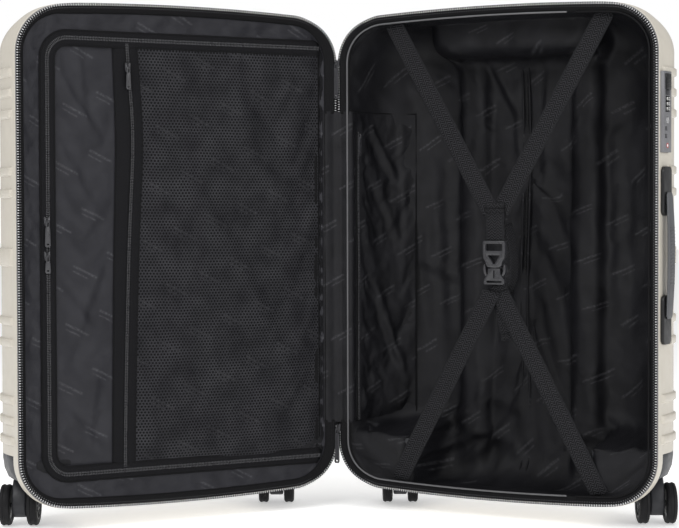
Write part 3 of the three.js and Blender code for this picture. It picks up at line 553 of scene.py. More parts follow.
def solid_outline(name, half, outline, low, high, look, axis="y", holes=(), round_by=0.6, segments=2,
                  **options):
    """A flat outline, with holes, made solid between two positions along an axis, with rounded edges.
    The outline's two numbers are the half frame's other two axes, in order."""
    loops = [list(outline)] + [list(hole) for hole in holes]
    flat = [point for loop in loops for point in loop]
    triangles = tessellate_polygon([[Vector((p[0], p[1], 0.0)) for p in loop] for loop in loops])
    count = len(flat)

    def lifted(point, height):
        at = {"x": (height, point[0], point[1]), "y": (point[0], height, point[1]),
              "z": (point[0], point[1], height)}
        return at[axis]

    points = [lifted(p, low) for p in flat] + [lifted(p, high) for p in flat]
    faces = [list(t) for t in triangles] + [[i + count for i in t][::-1] for t in triangles]
    start = 0
    for loop in loops:
        for i in range(len(loop)):
            a, b = start + i, start + (i + 1) % len(loop)
            faces.append([a, b, b + count, a + count])
        start += len(loop)
    obj = built(name, half, np.array(points, float), faces, look, **options)
    work = bmesh.new()
    work.from_mesh(obj.data)
    bmesh.ops.dissolve_limit(work, angle_limit=math.radians(1), verts=work.verts, edges=work.edges)
    bmesh.ops.recalc_face_normals(work, faces=work.faces)
    work.to_mesh(obj.data)
    work.free()
    if round_by:
        bevelled(obj, round_by, segments)
    obj.data.shade_smooth()
    obj.data.set_sharp_from_angle(angle=math.radians(50))
    return obj


def rounded_rectangle(x0, x1, y0, y1, radius, steps=5):
    """An outline for solid_outline."""
    points = []
    for corner, (x, y) in enumerate(((x1 - radius, y1 - radius), (x0 + radius, y1 - radius),
                                     (x0 + radius, y0 + radius), (x1 - radius, y0 + radius))):
        for i in range(steps + 1):
            angle = (corner + i / steps) * math.pi / 2
            points.append((x + radius * math.cos(angle), y + radius * math.sin(angle)))
    return points


def refined(name, node, look, round_by, segments=2):
    """A finer stand-in for a CAD node: the same solid with its hard edges rounded."""
    source = frame["nodes"][node]
    mesh = source.data.copy()
    mesh.name = name
    work = bmesh.new()
    work.from_mesh(mesh)
    bmesh.ops.remove_doubles(work, verts=work.verts, dist=1e-5)
    bmesh.ops.dissolve_limit(work, angle_limit=math.radians(0.5), verts=work.verts, edges=work.edges)
    work.to_mesh(mesh)
    work.free()
    if "custom_normal" in mesh.attributes:
        mesh.attributes.remove(mesh.attributes["custom_normal"])
    obj = linked(name, mesh)
    if round_by:
        bevelled(obj, round_by, segments)
    finished(obj, look, 35.0, source["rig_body"])
    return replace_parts(obj, node)


def joined(name, pieces):
    """Joins pieces that ride on one body into the first, under a new name."""
    first = pieces[0]
    work = bmesh.new()
    looks = []
    for obj in pieces:
        start = len(work.faces)
        mesh = obj.data
        slots = []
        for material in mesh.materials:
            if material not in looks:
                looks.append(material)
            slots.append(looks.index(material))
        work.from_mesh(mesh)
        work.faces.ensure_lookup_table()
        for face in work.faces[start:]:
            face.material_index = slots[face.material_index] if slots else 0
    merged = bpy.data.meshes.new(name)
    work.to_mesh(merged)
    work.free()
    for material in looks:
        merged.materials.append(material)
    for obj in pieces[1:]:
        bpy.data.objects.remove(obj)
    first.data = merged
    first.name = name
    return first


# ---------------------------------------------------------------- the shape of the case

def smoothstep(value, low, high):
    """0 below low, 1 above high, and an S curve between them. low may be the larger."""
    t = np.clip((value - low) / (high - low), 0.0, 1.0)
    return t * t * (3 - 2 * t)


def round_inset(radius, past):
    """How far a rounded edge has drawn in, past millimetres into its quarter circle."""
    reach = np.clip(past, 0.0, radius)
    return radius - np.sqrt(radius * radius - reach * reach)


def crowned(x, height):
    """The real height of a level of the shell, whose ends bow out in their middle."""
    across = (x - MID_X) / (WIDTH / 2)
    return MID_Z + height * (1 - (CROWN / (HEIGHT / 2)) * across * across)


def outline(inset, y, side_steps=44, end_steps=26, corner_steps=14):
    """The front outline at an inset: a loop of points at depth y, from the outer side over the top."""
    radius = CORNER - inset
    wide, high = WIDTH / 2 - inset, HEIGHT / 2 - inset
    loop = []
    for corner in range(4):
        sign_x = 1 if corner in (0, 3) else -1
        sign_z = 1 if corner < 2 else -1
        centre = (sign_x * (wide - radius), sign_z * (high - radius))
        for i in range(corner_steps + 1):
            angle = (corner + i / corner_steps) * math.pi / 2
            loop.append((centre[0] + radius * math.cos(angle), centre[1] + radius * math.sin(angle)))
        steps = end_steps if corner % 2 == 0 else side_steps
        for i in range(1, steps):
            t = i / steps
            if corner % 2 == 0:
                loop.append((centre[0] * (1 - 2 * t), sign_z * high))
            else:
                loop.append((sign_x * wide, centre[1] * (1 - 2 * t)))
    loop = np.array(loop)
    x = MID_X + loop[:, 0]
    return np.stack([x, np.full(len(x), float(y)), crowned(x, loop[:, 1])], 1)


def section(height, proud, inset, front):
    """One level of the tray, from the spine side's front edge round the back to the outer side's."""
    past = abs(height) - HEIGHT / 2
    half = WIDTH / 2 - inset - round_inset(CORNER - inset, past + CORNER)
    depth = DEPTH - inset - round_inset(END_ROUND - inset, past + END_ROUND)
    radius = min(SIDE_ROUND - inset, depth - RIB_START - 6)
    side = [(half, front + (RIB_START - front) * t) for t in (0.0, 0.2, 0.6, 1.0)]
    side += [(half + proud * float(smoothstep(t, 0.0, 1.0)), RIB_START + 4 * t)
             for t in (0.25, 0.5, 0.75, 1.0)]
    straight = depth - radius - RIB_START - 4
    side += [(half + proud, RIB_START + 4 + straight * t) for t in (0.33, 0.67)]
    for i in range(19):
        angle = i / 18 * math.pi / 2
        out = radius + proud
        side.append((half - radius + out * math.cos(angle), depth - radius + out * math.sin(angle)))
    last = side[-1]
    side += [(last[0] * (1 - t), last[1]) for t in (0.25, 0.5, 0.75)]
    line = [(-x, y) for x, y in side] + [(0.0, last[1])] + side[::-1]
    x = MID_X + np.array([p[0] for p in line])
    y = np.array([p[1] for p in line])
    return np.stack([x, y, crowned(x, height)], 1)


def tray(inset, front, ribbed):
    """The outside of one half at an inset, as rows of points from the bottom to the top."""
    straight = HEIGHT / 2 - CORNER
    radius = CORNER - inset
    turn = np.sin(np.linspace(0, math.pi / 2, 19))
    levels = [(-straight - radius * t, 0.0) for t in turn[::-1]]
    ramp = ((0.0, 0.0), (0.5, 0.14), (1.1, 0.55), (1.7, 0.88), (2.4, 1.0))
    for at in RIB_OFFSETS:
        half = MIDDLE_RIB_HALF if at == 0 else RIB_HALF
        proud = RIB_PROUD if ribbed else 0.0
        levels += [(at - half + step, proud * share) for step, share in ramp]
        levels += [(at + half - step, proud * share) for step, share in ramp[::-1]]
    levels += [(straight + radius * t, 0.0) for t in turn]
    rows = [section(height, proud, inset, front) for height, proud in levels]
    caps = []
    for edge in (rows[0], rows[-1]):
        cap = []
        for t in (0.3, 0.6, 0.85, 1.0):
            row = edge.copy()
            row[:, 1] = front + (edge[:, 1] - front) * (1 - t)
            cap.append(row)
        caps.append(cap)
    return np.array(caps[0][::-1] + rows + caps[1])


def shell(name, half, node):
    """The hard shell: the ribbed outside, the plain inside and a rounded front lip between them."""
    outside = tray(0.0, 1.5, True)
    inside = tray(WALL, 1.6, False)
    lip = tray(WALL / 2, 0.5, False)
    lip_out = tray(0.35, 0.8, False)
    rows, columns = outside.shape[:2]
    count = rows * columns
    faces = grid_faces(rows, columns)
    faces += [face[::-1] for face in grid_faces(rows, columns, start=count)]
    border = [i * columns for i in range(rows)] + [(rows - 1) * columns + j for j in range(1, columns)]
    border += [i * columns + columns - 1 for i in range(rows - 2, -1, -1)] + list(range(columns - 2, 0, -1))
    rings = [lip_out.reshape(-1, 3)[border], lip.reshape(-1, 3)[border]]
    points = np.vstack([outside.reshape(-1, 3), inside.reshape(-1, 3), *rings])
    around = len(border)
    chain = [border, [2 * count + i for i in range(around)],
             [2 * count + around + i for i in range(around)], [count + i for i in border]]
    for first, second in zip(chain, chain[1:]):
        for i in range(around):
            j = (i + 1) % around
            faces.append([first[i], first[j], second[j], second[i]])
    made = built(name, half, points, faces, shell_look, slot="shell_cream", sharp=None)
    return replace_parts(made, node)


def corner_cuts():
    """The boxes that the caster housings take out of the bottom corners."""
    cuts = []
    for side in (-1, 1):
        edge = MID_X + side * (WIDTH / 2 + 20)
        inner = MID_X + side * (WIDTH / 2 - WELL_WIDTH)
        cuts.append(((min(edge, inner), WELL_FRONT, 0), (max(edge, inner), DEPTH + 20, WELL_TOP)))
    return cuts


SPINE_CUT = ((-1, -2, COVER_LOW - 3), (21, 2.2, COVER_HIGH + 3))
LEG_CENTRES = (MID_Z - 66, MID_Z + 66)
BASE_CUTS = [
    ((435.4, 3.7, 457.7), (OUTER_X + 9, 29.3, 555.3)),
    ((MID_X - HOUSING_HALF, HOUSING_FRONT, HOUSING_BOTTOM), (MID_X + HOUSING_HALF, DEPTH + 20, 700)),
    ((MID_X - CUP_HALF, CUP_FRONT, CUP_BOTTOM), (MID_X + CUP_HALF, CUP_BACK, 700)),
    ((OUTER_X, 4, MID_Z - 110), (OUTER_X + 9, 35, MID_Z + 110)),
] + [((OUTER_X - 8, 11.5, z - 6.5), (OUTER_X + 9, 24.5, z + 6.5)) for z in LEG_CENTRES]

for half, node in ((BASE, "base_shell"), (LID, "lid_shell")):
    made = shell(f"{half.body}_outer_shell", half, node)
    cut(made, half, corner_cuts() + [SPINE_CUT] + (BASE_CUTS if half is BASE else []))
    made.data.shade_smooth()
    made.data.set_sharp_from_angle(angle=math.radians(32))


# ---------------------------------------------------------------- rims

# The zip tape laps over the shell's lip: out to the hinge line at the spine, just past the edge at the top
# and bottom, and inside a strip of bare lip at the outer side.
SPINE_REACH, END_REACH, OUTER_LIP = 5.9, 0.9, 2.2
TOOTH_PITCH = 3.2


def rim_line(inset, y, share=1.0, **steps):
    """The front outline at an inset, moved outwards by a share of the tape's reach."""
    line, outside = outline(inset, y, **steps), outline(inset - 1.0, y, **steps)
    edge = outline(0.0, y, **steps)
    spine = smoothstep(edge[:, 0], SPINE_GAP + 42.0, SPINE_GAP + 0.5)
    outer = smoothstep(edge[:, 0], OUTER_X - 80.0, OUTER_X - 14.0)
    reach = END_REACH + (SPINE_REACH - END_REACH) * spine - (END_REACH + OUTER_LIP) * outer
    line = line + (outside - line) * (reach * share)[:, None]
    line[:, 1] -= 0.2 * share * (1 - np.maximum(spine, outer))
    return line


def run_of(line, keep):
    """The one stretch of a closed line where keep holds, in order."""
    first = next(i for i in range(len(line)) if keep[i] and not keep[i - 1])
    return np.roll(line, -first, axis=0)[np.roll(keep, -first)]


def clear_of_cover(inset, y, share=1.0):
    """The rim's line without the stretch that the hinge cover hides."""
    line = rim_line(inset, y, share, side_steps=80)
    edge = outline(0.0, y, side_steps=80)
    hidden = (edge[:, 0] < SPINE_GAP + 1) & (edge[:, 2] > COVER_LOW + 2) & (edge[:, 2] < COVER_HIGH - 2)
    return run_of(line, ~hidden)


def ring_piece(name, half, profile, look, **options):
    """A band all round the front outline. profile is a closed loop of (inset, depth, share of the reach)."""
    loops = [rim_line(inset, y, share, side_steps=80) for inset, y, share in profile]
    count = len(loops[0])
    points = np.array(loops).reshape(-1, 3)
    faces = []
    for k in range(len(loops)):
        low, high = k * count, ((k + 1) % len(loops)) * count
        faces += [[low + i, low + (i + 1) % count, high + (i + 1) % count, high + i] for i in range(count)]
    along = lengths_along(loops[0])
    steps = [math.dist(a[:2], b[:2]) for a, b in zip(profile, profile[1:])]
    flat = np.zeros((len(profile), count, 3))
    flat[:, :, 0] = np.cumsum([0] + steps)[:, None]
    flat[:, :, 1] = along[None]
    return built(name, half, points, faces, look, flat.reshape(-1, 3), **options)


TAPE_PROFILE = [(0.0, 1.1, 1.0), (0.2, 0.8, 1.0), (2.6, 0.75, 1.0), (3.4, 0.2, 0.72), (4.3, 0.2, 0.3),
                (5.6, 1.1, 0.1),
                (10.4, 1.5, 0.0), (11.6, 3.6, 0.0), (10.6, 3.9, 0.0), (5.6, 3.4, 0.0), (3.3, 2.6, 0.0),
                (3.2, 0.7, 0.6), (2.4, 1.2, 1.0)]
for half in (BASE, LID):
    band = ring_piece(f"{half.body}_rim_tape", half, TAPE_PROFILE, tape_black, slot="zip_tape", sharp=None)
    cut(band, half, [((-1, -2, COVER_LOW + 3), (SPINE_GAP + 12, 2.3, COVER_HIGH - 3))])
    band.data.shade_smooth()
    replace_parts(band, f"{half.body}_rim_zip")
    teeth = resampled(clear_of_cover(1.7, 0.75), step=TOOTH_PITCH)[0]
    if half is LID:
        teeth = (teeth[:-1] + teeth[1:]) / 2  # so that the two rows mesh when the case is shut
    beads(f"{half.body}_rim_teeth", half, teeth, TOOTH_PITCH, (1.5, 3.2, 1.5), tooth_look, slot="zip_tape")
    beads(f"{half.body}_rim_stitches", half, clear_of_cover(5.0, 0.95, 0.8), TOOTH_PITCH, (1.5, 2.0, 1.1),
          stitch_look, slot="zip_tape")
    lip = outline(1.4, 1.15, side_steps=80)
    tube(f"{half.body}_rim_welt", half, run_of(lip, lip[:, 0] > MID_X + 120), 0.95, tape_welt,
         slot="zip_tape")
# The base's piping: grey from the top round the spine to the bottom, and black down the outer side.
piping = rim_line(11.9, 1.1, 0.6)
for where, keep, look in (("spine", piping[:, 0] < MID_X + 110, piping_look),
                          ("outer", piping[:, 0] > MID_X + 100, tape_black)):
    tube(f"base_piping_{where}", BASE, run_of(piping, keep), 1.15, look, slot="zip_tape")
tube("lid_piping", LID, outline(11.2, 3.0), 0.8, tape_black, closed=True, slot="zip_tape")


# ---------------------------------------------------------------- linings

def keep_inside_tray(points, inset):
    """Moves points that lie outside the tray at this inset onto it."""
    x, y, z = points[:, 0] - MID_X, points[:, 1], points[:, 2]
    fall = 1 - (CROWN / (HEIGHT / 2)) * (x / (WIDTH / 2)) ** 2
    limit = HEIGHT / 2 - inset
    height = np.clip((z - MID_Z) / fall, -limit, limit)
    past = np.abs(height) - HEIGHT / 2
    half = WIDTH / 2 - inset - round_inset(CORNER - inset, past + CORNER)
    depth = DEPTH - inset - round_inset(END_ROUND - inset, past + END_ROUND)
    radius = np.minimum(SIDE_ROUND - inset, depth - RIB_START - 6)
    across, deep = np.minimum(np.abs(x), half), np.minimum(y, depth)
    dx, dy = across - (half - radius), deep - (depth - radius)
    reach = np.hypot(dx, dy)
    rounded = (dx > 0) & (dy > 0) & (reach > radius)
    share = radius / np.maximum(reach, 1e-6)
    across = np.where(rounded, half - radius + dx * share, across)
    deep = np.where(rounded, depth - radius + dy * share, deep)
    return np.stack([MID_X + np.sign(x) * across, deep, MID_Z + height * fall], 1)


def keep_off_boxes(points, boxes):
    """Moves points out of boxes that reach to the back: forwards, sideways or upwards, whichever is least."""
    for (x0, x1), front, (z0, z1) in boxes:
        inside = (points[:, 0] > x0) & (points[:, 0] < x1) & (points[:, 1] > front)
        inside &= (points[:, 2] > z0) & (points[:, 2] < z1)
        if not inside.any():
            continue
        held = points[inside]
        ways = np.stack([0.3 * (held[:, 1] - front), held[:, 0] - x0, x1 - held[:, 0], held[:, 2] - z0,
                         z1 - held[:, 2]], 1)
        way = ways.argmin(1)
        held[way == 0, 1] = front
        held[way == 1, 0] = x0
        held[way == 2, 0] = x1
        held[way == 3, 2] = z0
        held[way == 4, 2] = z1
        points[inside] = held
    return points


# What the linings lie over: the wheel wells, and in the base the trolley's tubes and its housing.
FAR = 2000.0
WELL_REACH, TUBE_HALF, TUBE_FRONT, LINING_AIR = WELL_WIDTH + 2.5, 14.5, 103.6, 2.5
CASTER_BOXES = [((-FAR, SPINE_GAP + WELL_REACH), WELL_FRONT - LINING_AIR, (-FAR, 97.5)),
                ((OUTER_X - WELL_REACH, FAR), WELL_FRONT - LINING_AIR, (-FAR, 97.5))]
TROLLEY_BOXES = [((x - TUBE_HALF, x + TUBE_HALF), TUBE_FRONT, (-FAR, FAR))
                 for x in (MID_X - TUBE_SPREAD, MID_X + TUBE_SPREAD)]
TROLLEY_BOXES += [((MID_X - HOUSING_HALF - LINING_AIR, MID_X + HOUSING_HALF + LINING_AIR),
                   CUP_FRONT - LINING_AIR, (HOUSING_BOTTOM - LINING_AIR, FAR))]


class Membrane:
    """Cloth lining one half of the case: rings of points from the rim back to a seam down the middle."""

    def __init__(self, inset, front, step, boxes):
        self.inset, self.boxes = inset, boxes
        straight = HEIGHT / 2 - WIDTH / 2
        edge = outline(inset, front, side_steps=int(500 / step), end_steps=int(320 / step),
                       corner_steps=int(80 / step))
        seam = np.array([[MID_X, DEPTH - inset, MID_Z + np.clip(z - MID_Z, -straight, straight)] for _, _,
                         z in edge])
        path = [edge]
        walls = np.linspace(0, 1, int((DEPTH - front + 20) / step))[1:]
        for t in walls:
            y = front + (DEPTH - inset - front) * math.sin(t * math.pi / 2)
            side = round_inset(SIDE_ROUND - inset, y - DEPTH + SIDE_ROUND)
            end = round_inset(END_ROUND - inset, y - DEPTH + END_ROUND)
            ring = edge.copy()
            ring[:, 0] = MID_X + (edge[:, 0] - MID_X) * (1 - side / (WIDTH / 2 - inset))
            ring[:, 1] = y
            ring[:, 2] = MID_Z + (edge[:, 2] - MID_Z) * (1 - end / (HEIGHT / 2 - inset))
            path.append(ring)
        last = path[-1]
        back = int(136 / step)
        for i in range(1, back + 1):
            path.append(last + (seam - last) * (i / back))
        self.points = np.array(path)
        self.rings, self.around = self.points.shape[:2]
        self.flat = self.unrolled(edge, seam)

    def unrolled(self, edge, seam):
        """Where each point lies when the cloth is laid flat: outwards from the seam, in millimetres."""
        steps = np.linalg.norm(np.diff(self.points[::-1], axis=0), axis=2)
        run = np.concatenate([np.zeros((1, self.around)), np.cumsum(steps, axis=0)])[::-1]
        way = (edge - seam)[:, [0, 2]]
        way /= np.linalg.norm(way, axis=1)[:, None]
        flat = np.zeros_like(self.points)
        flat[:, :, :2] = seam[None, :, [0, 2]] + way[None] * run[:, :, None]
        return flat

    def settle(self, rounds, pressure):
        """Lets the cloth pull smooth and press outwards until it lies on the walls and over the boxes."""
        p = self.points
        for _ in range(rounds):
            ahead, behind = np.roll(p, -1, axis=1), np.roll(p, 1, axis=1)
            outer, inner = np.concatenate([p[:1], p[:-1]]), np.concatenate([p[1:], p[-1:]])
            normal = np.cross(ahead - behind, inner - outer)
            normal /= np.maximum(np.linalg.norm(normal, axis=2), 1e-9)[:, :, None]
            facing = np.sign((normal * (p - np.array([MID_X, 0.0, MID_Z]))).sum(2))[:, :, None]
            pulled = p + 0.45 * ((ahead + behind + outer + inner) / 4 - p) + normal * facing * pressure
            pulled[0], pulled[-1] = p[0], p[-1]
            loose = keep_off_boxes(keep_inside_tray(pulled[1:].reshape(-1, 3), self.inset), self.boxes)
            pulled[1:] = loose.reshape(pulled[1:].shape)
            pulled[-1, :, 0] = MID_X
            p = pulled
        self.points = p
        return self

    def normals(self):
        p = self.points
        inner, outer = np.concatenate([p[1:], p[-1:]]), np.concatenate([p[:1], p[:-1]])
        normal = np.cross(np.roll(p, -1, axis=1) - np.roll(p, 1, axis=1), inner - outer)
        normal /= np.maximum(np.linalg.norm(normal, axis=2), 1e-9)[:, :, None]
        return normal * np.sign((normal * (np.array([MID_X, -60.0, MID_Z]) - p)).sum(2))[:, :, None]

    def faces(self):
        return grid_faces(self.rings, self.around, wrap=True)


def folds(places, lines):
    """How far each place, (x, z), is lifted by soft folds: (start, end, width, lift) for each."""
    lift = np.zeros(len(places))
    for (x0, z0), (x1, z1), width, height in lines:
        start, way = np.array([x0, z0], float), np.array([x1 - x0, z1 - z0], float)
        t = ((places - start) @ way) / (way @ way)
        nearest = start + np.clip(t, 0, 1)[:, None] * way
        off = places - nearest
        side = (off[:, 0] * way[1] - off[:, 1] * way[0]) / np.linalg.norm(way)
        distance = np.linalg.norm(off, axis=1)
        fade = np.sin(np.clip(t, 0.0, 1.0) * math.pi) ** 0.5
        ridge = np.exp(-(distance / width) ** 2)
        trough = np.exp(-((side - 1.5 * width)
                          / (1.1 * width)) ** 2) * np.exp(-(distance / (3 * width)) ** 2)
        lift += height * fade * (ridge - 0.55 * trough)
    return lift


def ripples(places, seed, scale, along=1.0, octaves=3):
    """Smooth random relief, about -1 to 1, with sharpened crests, longer along Z when along is above 1."""
    values = np.empty(len(places))
    for i, (x, z) in enumerate(places):
        at = Vector((x / scale, z / (scale * along), seed * 7.31))
        values[i] = 1.0 - 2.0 * abs(noise.fractal(at, 1.0, 2.1, octaves))
    return values


def crumpled(obj, pinned, growth, limit, frames=14):
    """Lets Blender's cloth buckle a sheet that is cut slightly too large, with the named points held.
    limit is how far a point may move, in millimetres."""
    before = np.empty(len(obj.data.vertices) * 3, np.float32)
    obj.data.vertices.foreach_get("co", before)
    group = obj.vertex_groups.new(name="pin")
    group.add([int(i) for i in np.nonzero(pinned)[0]], 1.0, "REPLACE")
    cloth = obj.modifiers.new("cloth", "CLOTH")
    settings = cloth.settings
    settings.quality = 5
    settings.mass = 0.12
    settings.tension_stiffness = settings.compression_stiffness = 6.0
    settings.shear_stiffness = 3.0
    settings.bending_stiffness = 0.4
    settings.air_damping = 2.0
    settings.shrink_min = -growth
    settings.vertex_group_mass = "pin"
    settings.effector_weights.gravity = 0.25
    cloth.collision_settings.use_collision = False
    cloth.point_cache.frame_start, cloth.point_cache.frame_end = 1, frames
    scene = bpy.context.scene
    for step in range(1, frames + 1):
        scene.frame_set(step)
    applied(obj)
    scene.frame_set(1)
    after = np.empty_like(before)
    obj.data.vertices.foreach_get("co", after)
    before, after = before.reshape(-1, 3), after.reshape(-1, 3)
    move = after - before
    length = np.linalg.norm(move, axis=1)
    held = limit * MM * np.tanh(length / (limit * MM))
    after = before + move * (held / np.maximum(length, 1e-9))[:, None]
    obj.vertex_groups.clear()
    moved(obj, after)
    return obj


def smoothed(obj, levels=1, thickness=0.0):
    """One subdivision, and a thickness in millimetres for a sheet."""
    if levels:
        modifier = obj.modifiers.new("smooth", "SUBSURF")
        modifier.levels = modifier.render_levels = levels
        modifier.boundary_smooth = "PRESERVE_CORNERS"
    if thickness:
        modifier = obj.modifiers.new("thick", "SOLIDIFY")
        modifier.thickness = thickness * MM
        modifier.offset = 0.0
    applied(obj)
    obj.data.shade_smooth()
    return obj


# Folds seen in the base: the top corners, the trolley's edges, and the loose cloth over the casters.
BASE_FOLDS = [
    ((150, 560), (225, 588), 7, 7), ((170, 590), (205, 520), 6, 6), ((300, 590), (262, 528), 6, 7),
    ((250, 590), (238, 300), 5, 4), ((205, 575), (215, 330), 6, 3.5), ((330, 600), (392, 560), 8, 6),
    ((60, 590), (120, 560), 7, 6), ((52, 560), (70, 520), 6, 5), ((420, 600), (424, 300), 6, 3),
    ((40, 100), (150, 128), 8, 9), ((60, 60), (170, 104), 7, 8), ((100, 118), (206, 84), 7, 8),
    ((130, 60), (200, 112), 6, 6), ((150, 150), (214, 128), 7, 7), ((180, 52), (236, 96), 6, 6),
    ((240, 60), (300, 108), 7, 7), ((260, 118), (350, 96), 8, 8), ((300, 56), (356, 112), 6, 6),
    ((330, 128), (420, 104), 8, 8), ((372, 60), (430, 116), 7, 7), ((390, 100), (436, 150), 7, 6),
    ((205, 250), (232, 196), 6, 4), ((150, 300), (168, 170), 8, 4), ((280, 420), (290, 180), 9, 4),
    ((345, 500), (352, 220), 10, 3.5), ((372, 470), (380, 250), 9, 3), ((96, 470), (108, 220), 9, 5),
    ((70, 420), (84, 200), 7, 4), ((190, 460), (196, 330), 8, 3), ((60, 330), (120, 300), 7, 3),
]


def kept_clear(obj, half, inset, boxes):
    """Brings a finished sheet back inside the shell, and forwards to clear what stands behind it."""
    local = keep_inside_tray(vertices_of(obj, half), inset)
    for (x0, x1), front, (z0, z1) in boxes:
        over = smoothstep(np.minimum.reduce([local[:, 0] - x0, x1 - local[:, 0], local[:, 2] - z0,
                                             z1 - local[:, 2]]), -7.0, -1.0)
        local[:, 1] -= over * np.maximum(local[:, 1] - front, 0.0)
    moved(obj, half.put(local))


CLOTH_STEP, CLOTH_FRONT, SETTLE_ROUNDS, CLOTH_PRESSURE = 7.0, 4.0, 220, 0.55


def tray_lining(name, half, node, boxes, fold_lines, seed):
    """The loose lining of one half: settled into the tray, folded, crumpled and given a thickness."""
    cloth = Membrane(LINING_INSET, CLOTH_FRONT, CLOTH_STEP, boxes).settle(SETTLE_ROUNDS, CLOTH_PRESSURE)
    points, normal = cloth.points.reshape(-1, 3), cloth.normals().reshape(-1, 3)
    places = points[:, [0, 2]]
    depth = smoothstep(points[:, 1], 6.0, 40.0)
    lift = folds(places, fold_lines) * smoothstep(points[:, 1], 10.0, 45.0)
    lift += (ripples(places + points[:, 1:2] * 0.7, seed, 70.0, 2.2) * 2.2 + 1.4) * depth
    lift += (ripples(places + points[:, 1:2] * 0.7, seed + 1, 26.0, 1.2, 2) * 0.9) * depth
    points = points + normal * np.maximum(lift, -0.8)[:, None]
    last = (cloth.rings - 1) * cloth.around
    points[last:, 0] = MID_X
    flat = cloth.flat.reshape(-1, 3)
    made = built(name, half, points, cloth.faces(), lining_look, flat, slot="lining_nylon", closed=False,
                 sharp=None)
    local = vertices_of(made, half)
    pinned = (local[:, 1] < 5.5) | (np.abs(local[:, 0] - MID_X) < 0.5)
    crumpled(made, pinned, 0.035, 5.0)
    kept_clear(made, half, LINING_INSET - 1.0, boxes)
    smoothed(made, 1, 0.5)
    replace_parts(made, node)
    return cloth


base_cloth = tray_lining("base_tray_lining", BASE, "base_lining", CASTER_BOXES + TROLLEY_BOXES, BASE_FOLDS,
                         3)
tray_lining("lid_tray_lining", LID, "lid_lining", CASTER_BOXES,
            [((120, 560), (150, 120), 9, 5), ((300, 540), (280, 140), 9, 5)], 8)

# The lining's own zip runs down the middle of the base, between two corded seams.
ring = base_cloth.points
centre_line = []
for z in np.linspace(44.0, 588.0, 60):
    near = np.abs(ring[:, :, 0] - MID_X) + np.abs(ring[:, :, 2] - z)
    k, j = np.unravel_index(near.argmin(), near.shape)
    centre_line.append((MID_X - 6.0, ring[k, j, 1] - 6.5, z))
centre_line = np.array(centre_line)
centre_line[:, 0] += 2.0 * np.sin(centre_line[:, 2] / 60.0) - 2.0
for shift, name in ((-4.6, "left"), (4.6, "right")):
    tube(f"base_seam_cord_{name}", BASE, centre_line + (shift, 0.0, 0.0), 1.5, lining_look,
         slot="lining_nylon")
beads("base_seam_zip", BASE, centre_line + (0.0, 1.2, 0.0), 1.9, (1.2, 3.6, 1.4), black_look,
      slot="zip_tape")


# ---------------------------------------------------------------- the lid's margin and divider

class RowFrame:
    """The row frame itself, in millimetres, for pieces that belong to both halves."""

    body = None
    mirrored = False

    @staticmethod
    def put(points):
        return np.asarray(points, float) * MM


def box_loop(x0, x1, z0, z1, outer_radius, spine_radius, y, side_steps, end_steps, corner_steps):
    """A rounded rectangle with as many points, in the same order, as outline() gives."""
    loop = []
    places = ((x1, z1, -1, -1, outer_radius), (x0, z1, 1, -1, spine_radius),
              (x0, z0, 1, 1, spine_radius), (x1, z0, -1, 1, outer_radius))
    centres = [(x + sx * r, z + sz * r, r) for x, z, sx, sz, r in places]
    for corner, (x, z, r) in enumerate(centres):
        for i in range(corner_steps + 1):
            angle = (corner + i / corner_steps) * math.pi / 2
            loop.append((x + r * math.cos(angle), y, z + r * math.sin(angle)))
        following = centres[(corner + 1) % 4]
        first = (corner + 1) * math.pi / 2
        start = (x + r * math.cos(first), z + r * math.sin(first))
        end = (following[0] + following[2] * math.cos(first), following[1] + following[2] * math.sin(first))
        steps = end_steps if corner % 2 == 0 else side_steps
        for i in range(1, steps):
            t = i / steps
            loop.append((start[0] + (end[0] - start[0]) * t, y, start[1] + (end[1] - start[1]) * t))
    return np.array(loop)


def divider_run(inset, y):
    """The divider's three zipped sides at an inset from the case, from the spine end of the top round to that
    of the bottom."""
    x1, z0, z1 = OUTER_X - inset, MID_Z - HEIGHT / 2 + inset, MID_Z + HEIGHT / 2 - inset
    radius = DIVIDER_CORNER + DIVIDER_INSET - inset
    corner = np.linspace(0, math.pi / 2, 13)
    points = [(DIVIDER_SPINE, z1)]
    points += [(x1 - radius + radius * math.sin(a), z1 - radius + radius * math.cos(a)) for a in corner]
    points += [(x1 - radius + radius * math.cos(a), z0 + radius - radius * math.sin(a)) for a in corner]
    points.append((DIVIDER_SPINE, z0))
    line = np.array([(x, y, z) for x, z in points])
    return resampled(line, count=290)[0]


def ribbon(name, half, edge, other, look, crown=0.0, **options):
    """A flat band between two lines with as many points; crown lifts its middle towards the front."""
    columns = 7
    t = np.linspace(0, 1, columns)
    points = edge[:, None] * (1 - t)[None, :, None] + other[:, None] * t[None, :, None]
    points[:, :, 1] -= crown * np.sin(t * math.pi)[None] ** 0.6
    along = lengths_along((edge + other) / 2)
    flat = np.zeros_like(points)
    flat[:, :, 0] = np.linalg.norm(other - edge, axis=1).mean() * (t - 0.5)[None]
    flat[:, :, 1] = along[:, None]
    faces = grid_faces(len(edge), columns)
    made = built(name, half, points.reshape(-1, 3), faces, look, flat.reshape(-1, 3), closed=False,
                 sharp=None, **options)
    return smoothed(made, 0, 0.9)


def zip_chain(name, half, path, pitch=2.1, normal=(0.0, -1.0, 0.0), width=2.7, **options):
    """A closed coil zip: two rows of slanted beads with a groove between them."""
    rows = []
    for side in (-1, 1):
        rows.append(beads(f"{name}_{side}", half, path, pitch, (1.45, width, 1.9), chain_look,
                          normal=normal, offset=side * width * 0.5, slant=side * 0.22, **options))
    return joined(name, rows)


